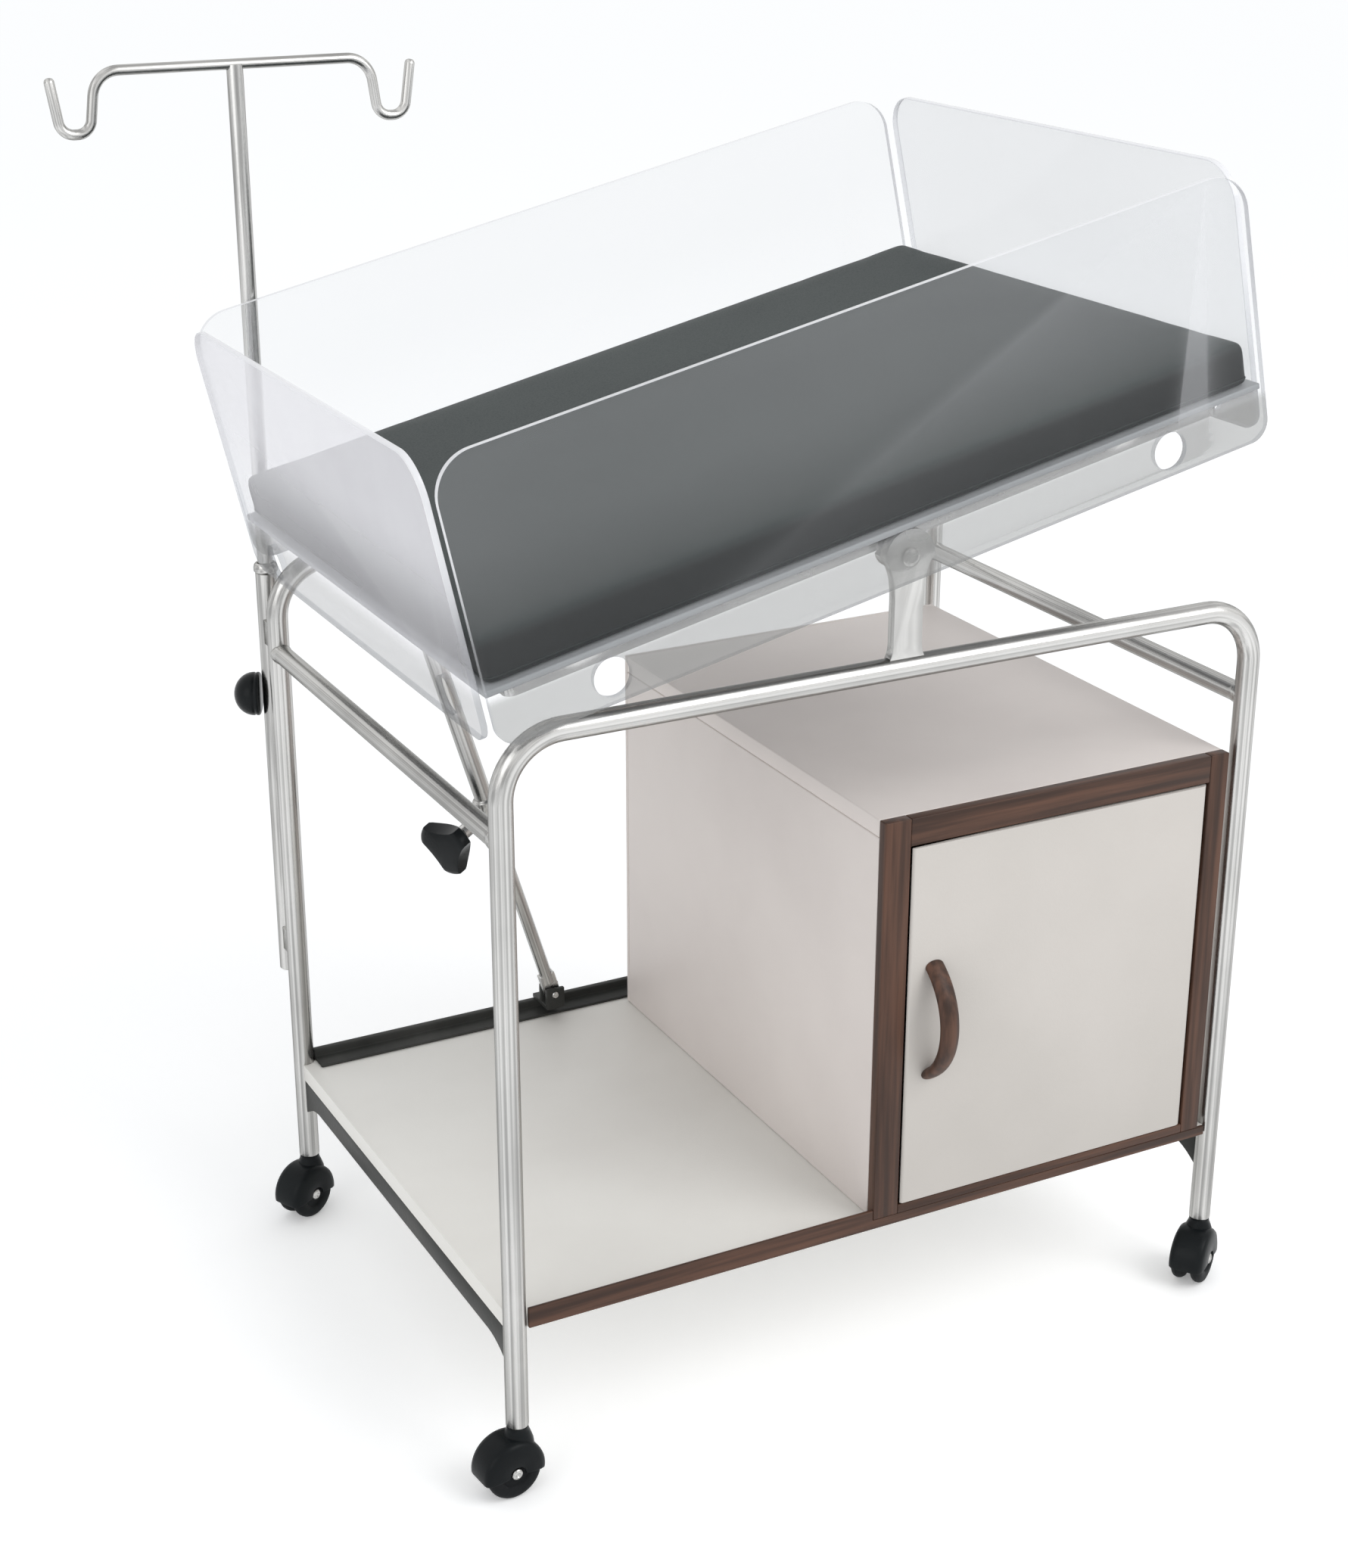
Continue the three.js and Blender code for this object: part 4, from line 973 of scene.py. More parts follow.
@dataclass
class TubeFrame(Assembly):
    """Two bent hoops, the crossbars welded between them and the pivot pillars."""

    tube: float = 0.011
    tube_edge: float = 0.0012
    bend: float = 0.058
    crossbar: float = 0.010
    weld: float = 0.0009
    weld_run: float = 0.005
    weld_root: float = 0.00946
    weld_curve: Profile = ((0.55, 0.25), (0.2, 0.6), (0.0, 1.0))
    pillar_edge: float = 0.0016
    pin_radius: float = 0.005
    pin_head: float = 0.009
    pin_edge: float = 0.0006
    pin_shoulder: float = 0.0034
    pin_sides: int = 40
    dome: float = 0.0044
    dome_rise: Profile = ((1.0, 0.4), (0.8, 0.82))
    dome_crown: Profile = ((0.4, 1.0), (0.0, 1.05))

    def build(self) -> None:
        """Shape and dress the whole frame."""
        for name in ("front_hoop", "rear_hoop"):
            self.hoop(name)
        for name in ("left_crossbar", "right_crossbar"):
            self.crossbar_between_legs(name)
        for name in ("front_pivot_pillar", "rear_pivot_pillar"):
            self.refined(name, Slot.STEEL, "frame", self.pillar_edge)
        self.pivot_pin("front_pivot_pin", -1.0)
        self.pivot_pin("rear_pivot_pin", 1.0)

    def hoop(self, node: str) -> None:
        """Bend a leg, a rail and a leg from one tube.

        Args:
            node: The CAD node that the hoop stands for.
        """
        low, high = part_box(node)
        y = (low.y + high.y) / 2
        left, right, top = low.x + self.tube, high.x - self.tube, high.z - self.tube
        corners = [Vector(c) for c in ((left, y, low.z), (left, y, top), (right, y, top), (right, y, low.z))]
        piece = Bench.swept(f"{node}_tube", corners, [self.bend] * 2, self.tube)
        Bench.bevel(piece, self.tube_edge)
        Bench.smooth(piece)
        self.dress(piece, Slot.STEEL, "frame", node)

    def crossbar_between_legs(self, node: str) -> None:
        """Turn a bar with a weld fillet at each end and cope it round the legs.

        Args:
            node: The CAD node that the bar stands for.
        """
        low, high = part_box(node)
        x, z = (low.x + high.x) / 2, (low.z + high.z) / 2
        start, end = (sum(corner.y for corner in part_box(hoop)) / 2 for hoop in ("front_hoop", "rear_hoop"))
        span, root = end - start, self.crossbar + self.weld
        flare = [(root, self.weld_root)]
        flare += [(self.crossbar + self.weld * u, self.tube + self.weld_run * v) for u, v in self.weld_curve]
        profile = [(0.0, 0.0), (root, 0.0), *flare]
        profile += [(r, span - h) for r, h in reversed(profile)]
        piece = Bench.turned(f"{node}_welded", profile, facing((x, start, z), ACROSS))
        for y in (start, end):
            Bench.drill(piece, Vector((x, y, z)), CLEAR * self.tube * UP, self.tube)
        Bench.smooth(piece)
        self.dress(piece, Slot.STEEL, "frame", node)

    def pivot_pin(self, node: str, outward: float) -> None:
        """Turn a pivot pin with a domed head outside its pillar and a shoulder inside it.

        Args:
            node: The CAD node that the pin stands for.
            outward: 1 where the head faces the rear and -1 where it faces the front.
        """
        low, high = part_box(node)
        pillar_low, pillar_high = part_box(node.replace("pin", "pillar"))
        shown = high.y - pillar_high.y if outward > 0 else pillar_low.y - low.y
        head = high.y - low.y - shown
        inner = head - (pillar_high.y - pillar_low.y)
        shoulder, edge = inner - self.pin_shoulder, self.pin_edge
        r, big = self.pin_radius, self.pin_head
        profile = [(0.0, 0.0), (r, 0.0), (r, shoulder), (big, shoulder), (big, inner), (r, inner)]
        profile += [(r, head), (big - edge, head), (big, head + edge)]
        profile += [(big * u, head + shown * v) for u, v in self.dome_rise]
        profile += [(big * u, head + self.dome * v) for u, v in self.dome_crown]
        start = Vector(((low.x + high.x) / 2, low.y if outward > 0 else high.y, (low.z + high.z) / 2))
        piece = Bench.turned(f"{node}_turned", profile, facing(start, outward * ACROSS), steps=self.pin_sides)
        Bench.smooth(piece)
        self.dress(piece, Slot.STEEL, "frame", node)


@dataclass
class Shelf(Assembly):
    """The lower shelf with its rails, rear lip and brown front edge."""

    edge: float = 0.0014
    trim_edge: float = 0.00098

    def build(self) -> None:
        """Shape and dress the shelf."""
        self.refined("shelf_board", Slot.LAMINATE, "frame", self.edge)
        for node in ("shelf_left_rail", "shelf_right_rail", "shelf_rear_lip"):
            self.refined(node, Slot.RAIL, "frame", self.edge)
        self.refined("shelf_front_trim", Slot.BROWN, "frame", self.trim_edge)


@dataclass
class Cabinet(Assembly):
    """The cabinet's boards and its brown face frame."""

    edge: float = 0.0016
    edge_faces: int = 4
    strip_edge: float = 0.0011
    strip_gap: float = 0.0001
    reveal: float = 0.002
    catch_edge: float = 0.0012

    def build(self) -> None:
        """Shape and dress the cabinet."""
        for node in ("cabinet_left_side", "cabinet_right_side", "cabinet_top", "cabinet_back"):
            self.board(node)
        self.face_frame()
        self.refined("door_catch", Slot.BLACK, "frame", self.catch_edge)

    def board(self, node: str) -> None:
        """Saw a board and ease its edges.

        Args:
            node: The CAD node that the board stands for.
        """
        piece = Bench.block(f"{node}_board", *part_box(node))
        Bench.bevel(piece, self.edge, self.edge_faces)
        Bench.smooth(piece)
        # The boards take the darker laminate copy, with its painted shade.
        piece.data.materials.append(self.paints.cabinet)
        self.dress(piece, Slot.LAMINATE, "frame", node)

    def face_frame(self) -> None:
        """Butt two upright strips and two level ones round the door."""
        low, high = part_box("cabinet_face_frame")
        door_low, door_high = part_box("cabinet_door")
        left, right = door_low.x - self.reveal, door_high.x + self.reveal
        bottom, top = door_low.z - self.reveal, door_high.z + self.reveal
        start, end = left + self.strip_gap, right - self.strip_gap
        bars = {
            "left": ((low.x, low.y, low.z), (left, high.y, high.z), Run.UPRIGHT),
            "right": ((right, low.y, low.z), (high.x, high.y, high.z), Run.UPRIGHT),
            "bottom": ((start, low.y, low.z), (end, high.y, bottom), Run.LEVEL),
            "top": ((start, low.y, top), (end, high.y, high.z), Run.LEVEL),
        }
        strips = []
        for name, (corner, far, run) in bars.items():
            strip = Bench.block(f"face_strip_{name}", corner, far)
            Bench.bevel(strip, self.strip_edge)
            self.streak(strip, run)
            strips.append(strip)
        piece = Bench.join(strips[0], strips[1:])
        piece.name = "cabinet_face_strips"
        Bench.smooth(piece)
        self.dress(piece, Slot.BROWN, "frame", "cabinet_face_frame")


@dataclass
class Door(Assembly):
    """The hinged door with its pins and bow handle."""

    edge: float = 0.0012
    grip_width: float = 0.0102
    grip_depth: float = 0.0056
    grip_sides: int = 36
    grip_steps: int = 44
    grip_smooth: float = 40.0
    overshoot: float = 0.12
    pin_radius: float = 0.0025

    def build(self) -> None:
        """Shape and dress the door."""
        self.refined("cabinet_door", Slot.DOOR, "door", self.edge)
        for node in ("door_bottom_pin", "door_top_pin"):
            self.pin(node, "frame", self.pin_radius, UP)
        self.handle()

    def handle(self) -> None:
        """Spin an oval section into a bow and cut its feet flat on the door."""
        low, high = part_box("door_handle")
        middle = (low + high) / 2
        reach, half = high.y - low.y, (high.z - low.z) / 2
        outer = (half**2 + reach**2) / (2 * reach)
        centre = Vector((middle.x, low.y + outer, middle.z))
        spread = math.acos((outer - reach) / outer) + self.overshoot
        bpy.ops.mesh.primitive_circle_add(vertices=self.grip_sides, radius=1.0)
        bpy.context.object.scale = (self.grip_width, self.grip_depth, 1.0)
        piece = Bench.settle("door_handle_bow")
        Bench.place(piece, Matrix.Translation(centre - (outer - self.grip_depth) * ACROSS))
        start = Matrix.Translation(centre) @ Matrix.Rotation(-spread, 4, "X") @ Matrix.Translation(-centre)
        Bench.place(piece, start)
        with Bench.editing(piece):
            bpy.ops.mesh.spin(steps=self.grip_steps, angle=-2 * spread, center=centre, axis=ALONG)
            bpy.ops.mesh.select_all(action="SELECT")
            bpy.ops.mesh.bisect(plane_co=(0.0, high.y, 0.0), plane_no=ACROSS, use_fill=True, clear_outer=True)
            Bench.face_outward()
        Bench.smooth(piece, self.grip_smooth)
        self.streak(piece, Run.UPRIGHT)
        self.dress(piece, Slot.BROWN, "door", "door_handle")


@dataclass
class Tub(Assembly):
    """The clear tub, shaped level about its pivot and then tilted."""

    wall: float = 0.006
    length: float = 0.820
    head_shift: float = 0.018
    half_width: float = 0.308
    low: float = -0.014
    high: float = 0.243
    corner_gap: float = 0.012
    top_radius: float = 0.038
    bottom_radius: float = 0.020
    corner_faces: int = 14
    hole: float = 0.018
    hole_level: float = 0.010
    side_hole_inset: float = 0.112
    end_hole_inset: float = 0.072
    rim: float = 0.0012
    rim_angle: float = 50.0
    square_on: float = 0.98
    floor_edge: float = 0.0015
    base_edge: float = 0.0018

    def __post_init__(self) -> None:
        """Find the matrix from the tub's level frame to its tilted place."""
        normal = Vector(joint("mattress_lift")["axis"])
        tilt = Matrix.Rotation(-math.atan2(-normal.x, normal.z), 4, "Y")
        self.tilted = Matrix.Translation(joint("tub_tilt")["pos_m"]) @ tilt

    def build(self) -> None:
        """Shape and dress the tub."""
        head, foot = -self.head_shift - self.length / 2, self.length / 2 - self.head_shift
        start, end = head + self.wall, foot - self.wall
        half = self.half_width - self.wall - self.corner_gap
        side_holes = (start + self.side_hole_inset, end - self.side_hole_inset)
        end_holes = (self.end_hole_inset - half, half - self.end_hole_inset)
        for node, outer, inward in (
            ("tub_front_wall", -self.half_width, self.wall),
            ("tub_rear_wall", self.half_width, -self.wall),
        ):
            low, high = sorted((outer, outer + inward))
            holes = [Vector((u, outer, self.hole_level)) for u in side_holes]
            self.sheet(node, (start, low, self.low), (end, high, self.high), ACROSS, holes)
        for node, outer, inward in (("tub_head_wall", head, self.wall), ("tub_foot_wall", foot, -self.wall)):
            low, high = sorted((outer, outer + inward))
            holes = [Vector((outer, v, self.hole_level)) for v in end_holes]
            self.sheet(node, (low, -half, self.low), (high, half, self.high), ALONG, holes)
        self.refined("tub_floor", Slot.FLOOR, "tub", self.floor_edge)
        self.refined("tub_base_frame", Slot.STEEL, "tub", self.base_edge)

    def sheet(self, node: str, low: Point, high: Point, normal: Vector, holes: Sequence[Vector]) -> None:
        """Saw one wall, round its corners, drill its skirt and polish its rim.

        Args:
            node: The CAD node that the wall stands for.
            low: Low corner in the tub's level frame.
            high: High corner in the same frame.
            normal: Direction through the sheet.
            holes: A point on the middle line of each hole.
        """
        piece = Bench.block(f"{node}_sheet", low, high)
        for level, radius in ((self.high, self.top_radius), (self.low, self.bottom_radius)):

            def at_level(a: Vector, b: Vector) -> bool:
                """Pick the edges through the sheet at this height."""
                through = abs((b - a).normalized().dot(normal)) > self.square_on
                return through and abs(a.z - level) < WELD and abs(b.z - level) < WELD

            Bench.round_edges(piece, at_level, radius, self.corner_faces)
        for centre in holes:
            Bench.drill(piece, centre, CLEAR * self.wall * normal, self.hole)
        Bench.bevel(piece, self.rim, angle=self.rim_angle)
        Bench.smooth(piece)
        milky = node == "tub_head_wall"
        piece.data.materials.append(self.paints.head_sheet if milky else self.paints.of[Slot.ACRYLIC])
        piece.data.materials.append(self.paints.sheet_edge)
        for face in piece.data.polygons:
            face.material_index = 0 if abs(face.normal.dot(normal)) > self.square_on else 1
        Bench.place(piece, self.tilted)
        self.dress(piece, Slot.ACRYLIC, "tub", node)


@dataclass
class Mattress(Assembly):
    """The padded mattress, swollen by a cloth simulation inside its tub."""

    tub: Tub
    shrink: float = 0.0018
    rim_drop: float = 0.007
    corner: float = 0.009
    corner_faces: int = 8
    soft_edge: float = 0.009
    soft_faces: int = 5
    edge: float = 0.003
    edge_faces: int = 4
    edge_angle: float = 50.0
    voxel: float = 0.006
    crown: float = 0.004
    pressure: float = 4.0
    stiffness: float = 25.0
    frames: int = 20
    cap: float = 0.0026
    seam: float = 0.0009
    seam_height: float = 0.006
    seam_steps: int = 2
    base_margin: float = 0.03
    base_flat: float = 0.9999
    # Where the painted shade on the sides starts, and how fast it darkens as they steepen.
    side_start: float = 1.35
    side_slope: float = 1.5
    smooth_angle: float = 80.0
    fill: float = 0.8

    def build(self) -> None:
        """Shape, swell and dress the mattress and its welded seam."""
        low, high = self.room()
        inset = self.shrink * (ALONG + ACROSS)
        top = high.z - self.rim_drop
        piece = Bench.block("mattress_cover", low + inset, high - inset - self.rim_drop * UP)
        Bench.round_edges(piece, lambda a, b: abs(a.z - b.z) > WELD, self.corner, self.corner_faces)
        Bench.round_edges(piece, lambda a, b: min(a.z, b.z) > top - WELD, self.soft_edge, self.soft_faces)
        Bench.bevel(piece, self.edge, self.edge_faces, self.edge_angle)
        piece.data.remesh_voxel_size = self.voxel
        Bench.only(piece)
        bpy.ops.object.voxel_remesh()
        self.raise_crown(piece, low, high)
        self.swell(piece, low, high)
        Bench.apply(piece, "SUBSURF", levels=1, render_levels=1)
        seam = self.welt(piece, low.z + self.seam_height)
        self.merge_base(piece, low, high)
        Bench.join(piece, [seam])
        Bench.smooth(piece, self.smooth_angle)
        self.shade_sides(piece)
        Bench.place(piece, self.tub.tilted)
        self.dress(piece, Slot.VINYL, "mattress", "mattress")

    def room(self) -> tuple[Vector, Vector]:
        """Measure the CAD mattress in the tub's level frame.

        Returns:
            Its low and high corners.
        """
        level = self.tub.tilted.inverted()
        places = [level @ vertex.co for vertex in frame["nodes"]["mattress"].data.vertices]
        low, high = (Vector([pick(place[i] for place in places) for i in range(3)]) for pick in (min, max))
        return low, high

    def raise_crown(self, piece: Piece, low: Vector, high: Vector) -> None:
        """Lift the middle of the top, and less of what is lower.

        Args:
            piece: The remeshed cover.
            low: Low corner of the room it has.
            high: High corner of that room.
        """
        middle, half = (low + high) / 2, (high - low) / 2
        for vertex in piece.data.vertices:
            u, v, w = ((vertex.co[i] - middle[i]) / half[i] for i in range(3))
            vertex.co.z += self.crown * (1 - u * u) * (1 - v * v) * (w + 1) / 2

    def swell(self, piece: Piece, low: Vector, high: Vector) -> None:
        """Blow the cover up from inside and keep it in its room.

        Args:
            piece: The remeshed cover.
            low: Low corner of the room it has.
            high: High corner of that room.
        """
        before = [vertex.co.copy() for vertex in piece.data.vertices]
        cloth = piece.modifiers.new("Cloth", "CLOTH")
        cloth.settings.use_pressure = True
        cloth.settings.uniform_pressure_force = self.pressure
        cloth.settings.effector_weights.gravity = 0.0
        cloth.settings.tension_stiffness = self.stiffness
        cloth.settings.compression_stiffness = self.stiffness
        cloth.point_cache.frame_end = self.frames
        for number in range(1, self.frames + 1):
            bpy.context.scene.frame_set(number)
        Bench.only(piece)
        bpy.ops.object.modifier_apply(modifier=cloth.name)
        bpy.context.scene.frame_set(1)
        for vertex, start in zip(piece.data.vertices, before):
            move = vertex.co - start
            place = start + move * min(1.0, self.cap / max(move.length, WELD))
            vertex.co = [min(max(place[i], low[i]), high[i]) for i in range(3)]

    def welt(self, piece: Piece, height: float) -> Piece:
        """Lay a thin welded seam round the cover.

        Args:
            piece: The swollen cover.
            height: Height of the seam.

        Returns:
            The seam.
        """
        seam = Bench.twin(piece, "mattress_seam")
        with Bench.editing(seam):
            bpy.ops.mesh.bisect(plane_co=height * UP, plane_no=UP, clear_inner=True, clear_outer=True)
        bpy.ops.object.convert(target="CURVE")
        seam.data.bevel_depth = self.seam
        seam.data.bevel_resolution = self.seam_steps
        bpy.ops.object.convert(target="MESH")
        return seam

    def merge_base(self, piece: Piece, low: Vector, high: Vector) -> None:
        """Join the small faces of the flat underside, away from its edges.

        Args:
            piece: The swollen cover.
            low: Low corner of its room.
            high: High corner of its room.
        """
        margin = self.base_margin

        def under(face: bpy.types.MeshPolygon) -> bool:
            """Pick the faces that look straight down, well inside."""
            inside = all(low[i] + margin < face.center[i] < high[i] - margin for i in range(2))
            return inside and face.normal.z < -self.base_flat

        with Bench.editing(piece, Part.FACES):
            Bench.pick(piece, Part.FACES, under)
            bpy.ops.mesh.dissolve_faces()

    def shade_sides(self, piece: Piece) -> None:
        """Store how much painted shade darkens each point, more where the cover's sides are steep.

        Args:
            piece: The swollen cover, still level.
        """
        flat = [abs(vertex.normal.z) for vertex in piece.data.vertices]
        shade_share = [min(max(self.side_start - self.side_slope * part, 0.0), 1.0) for part in flat]
        side_shade = piece.data.attributes.new("side_shade", "FLOAT", "POINT")
        side_shade.data.foreach_set("value", shade_share)


@dataclass
class TiltStrut(Assembly):
    """The telescopic strut with its clamp knob and forks, shaped upright on its foot pin."""

    length: float = 0.6027326
    clamp: float = 0.247
    insert: float = 0.185
    rod_radius: float = 0.007
    rod_start: float = 0.013
    rod_edge: float = 0.001
    bore: float = 0.0074
    tube_radius: float = 0.010
    tube_edge: float = 0.0012
    collar: float = 0.0135
    collar_length: float = 0.034
    eye: float = 0.009
    eye_share: float = 0.995
    eye_faces: int = 14
    rod_eye: float = 0.0044
    tube_eye: float = 0.0056
    tongue: float = 0.026
    tongue_half: float = 0.005
    tongue_edge: float = 0.0008
    tongue_faces: int = 2
    tongue_angle: float = 40.0
    boss: float = 0.008
    boss_root: float = 0.0102
    boss_reach: float = 0.048
    boss_sides: int = 40
    knob_gap: float = 0.0003
    knob_radius: float = 0.033
    knob_length: float = 0.030
    knob_nose: Profile = ((0.0, 0.0), (0.0075, 0.0), (0.009, 0.0015), (0.011, 0.0042))
    knob_curve: Profile = (
        (0.50, 0.27),
        (0.74, 0.40),
        (0.92, 0.50),
        (1.0, 0.58),
        (1.0, 0.88),
        (0.97, 0.95),
        (0.90, 0.99),
        (0.80, 1.0),
        (0.40, 1.0133),
        (0.0, 1.0167),
    )
    knob_sides: int = 96
    lobes: int = 3
    scallop: float = 0.080
    scallop_bite: float = 0.012
    scallop_clear: float = 0.01
    scallop_sides: int = 256
    lobe_edge: float = 0.0032
    lobe_faces: int = 5
    lobe_angle: float = 38.0
    lobe_smooth: float = 40.0
    fork_edge: float = 0.0012
    link_pin: float = 0.004

    def __post_init__(self) -> None:
        """Find the matrices from the upright strut to its lean, and from the clamp's boss to the strut."""
        axis = Vector(joint("strut_extend")["axis"])
        lean = Matrix.Rotation(math.atan2(axis.x, axis.z), 4, "Y")
        self.leaning = Matrix.Translation(joint("strut_swing")["pos_m"]) @ lean
        sideways = Matrix(((0, 0, -1, 0), (0, 1, 0, 0), (1, 0, 0, 0), (0, 0, 0, 1)))
        turn = Matrix.Rotation(math.asin(-joint("strut_knob_turn")["axis"][1]), 4, "Z")
        self.clamping = Matrix.Translation((0.0, 0.0, self.clamp)) @ turn @ sideways

    def build(self) -> None:
        """Shape and dress the strut."""
        self.rod()
        self.tube()
        self.knob()
        self.refined("strut_foot_clevis", Slot.RAIL, "frame", self.fork_edge)
        self.refined("strut_head_clevis", Slot.STEEL, "tub", self.fork_edge)
        self.pin("strut_foot_pin", "frame", self.link_pin, ACROSS)
        self.pin("strut_head_pin", "tub", self.link_pin, ACROSS)

    def eye_plate(self, centre: float, inward: float, hole: float) -> Piece:
        """Shape a flat tongue with a round end and an eye.

        Args:
            centre: Height of the eye.
            inward: 1 where the tongue runs upwards from the eye and -1 where it runs down.
            hole: Radius of the eye.

        Returns:
            The tongue.
        """
        tip = centre - inward * self.eye
        low, high = sorted((tip, centre + inward * self.tongue))
        plate = Bench.block("tongue", (-self.eye, -self.tongue_half, low), (self.eye, self.tongue_half, high))

        def at_tip(a: Vector, b: Vector) -> bool:
            """Pick the edges across the tongue at its tip."""
            return abs(a.x - b.x) < WELD and abs(a.z - tip) < WELD and abs(b.z - tip) < WELD

        Bench.round_edges(plate, at_tip, self.eye * self.eye_share, self.eye_faces)
        Bench.drill(plate, centre * UP, CLEAR * self.tongue_half * ACROSS, hole)
        Bench.bevel(plate, self.tongue_edge, self.tongue_faces, self.tongue_angle)
        return plate

    def rod(self) -> None:
        """Turn the rod and flatten its foot into an eye."""
        profile = chamfered(self.rod_radius, self.rod_start, self.clamp + self.insert, self.rod_edge)
        piece = Bench.turned("strut_rod_turned", profile, Matrix.Identity(4))
        Bench.combine(piece, self.eye_plate(0.0, 1.0, self.rod_eye), Meet.FUSE)
        Bench.smooth(piece)
        Bench.place(piece, self.leaning)
        self.dress(piece, Slot.STEEL, "strut_rod", "strut_rod")

    def tube(self) -> None:
        """Turn the tube with its clamp collar and set the boss and the eye on it."""
        low, high = (self.clamp + half * self.collar_length for half in (-0.5, 0.5))
        top, depth = self.length - 2 * self.eye, self.clamp + self.insert + self.tongue
        edge = self.tube_edge
        profile = [
            (0.0, depth),
            (self.bore, depth),
            (self.bore, low + edge),
            (self.bore + edge, low),
            (self.collar - edge, low),
            (self.collar, low + edge),
            (self.collar, high - edge),
            (self.collar - edge, high),
            (self.tube_radius + edge, high),
            (self.tube_radius, high + edge),
            (self.tube_radius, top - edge),
            (self.tube_radius - edge, top),
            (0.0, top),
        ]
        piece = Bench.turned("strut_tube_turned", profile, Matrix.Identity(4))
        boss = [(0.0, self.boss_root), (self.boss, self.boss_root), (self.boss, self.boss_reach - edge)]
        boss += [(self.boss - edge, self.boss_reach), (0.0, self.boss_reach)]
        Bench.combine(piece, Bench.turned("boss", boss, self.clamping, steps=self.boss_sides), Meet.FUSE)
        Bench.combine(piece, self.eye_plate(self.length, -1.0, self.tube_eye), Meet.FUSE)
        Bench.smooth(piece)
        Bench.place(piece, self.leaning)
        self.dress(piece, Slot.STEEL, "strut_tube", "strut_tube")

    def knob(self) -> None:
        """Turn a flaring knob and scallop it into lobes."""
        start, rim, span = self.boss_reach + self.knob_gap, self.knob_radius, self.knob_length
        profile = [(r, start + h) for r, h in self.knob_nose]
        profile += [(rim * u, start + span * v) for u, v in self.knob_curve]
        piece = Bench.turned("strut_knob_lobed", profile, Matrix.Identity(4), steps=self.knob_sides)
        away = (rim + self.scallop - self.scallop_bite) * ALONG
        reach = (span / 2 + self.scallop_clear) * UP
        for lobe in range(self.lobes):
            spoke = Matrix.Rotation(FULL_TURN * lobe / self.lobes, 3, "Z") @ away
            Bench.drill(piece, spoke + (start + span / 2) * UP, reach, self.scallop, self.scallop_sides)
        Bench.bevel(piece, self.lobe_edge, self.lobe_faces, self.lobe_angle)
        Bench.smooth(piece, self.lobe_smooth)
        Bench.place(piece, self.leaning @ self.clamping)
        self.dress(piece, Slot.BLACK, "strut_knob", "strut_knob")


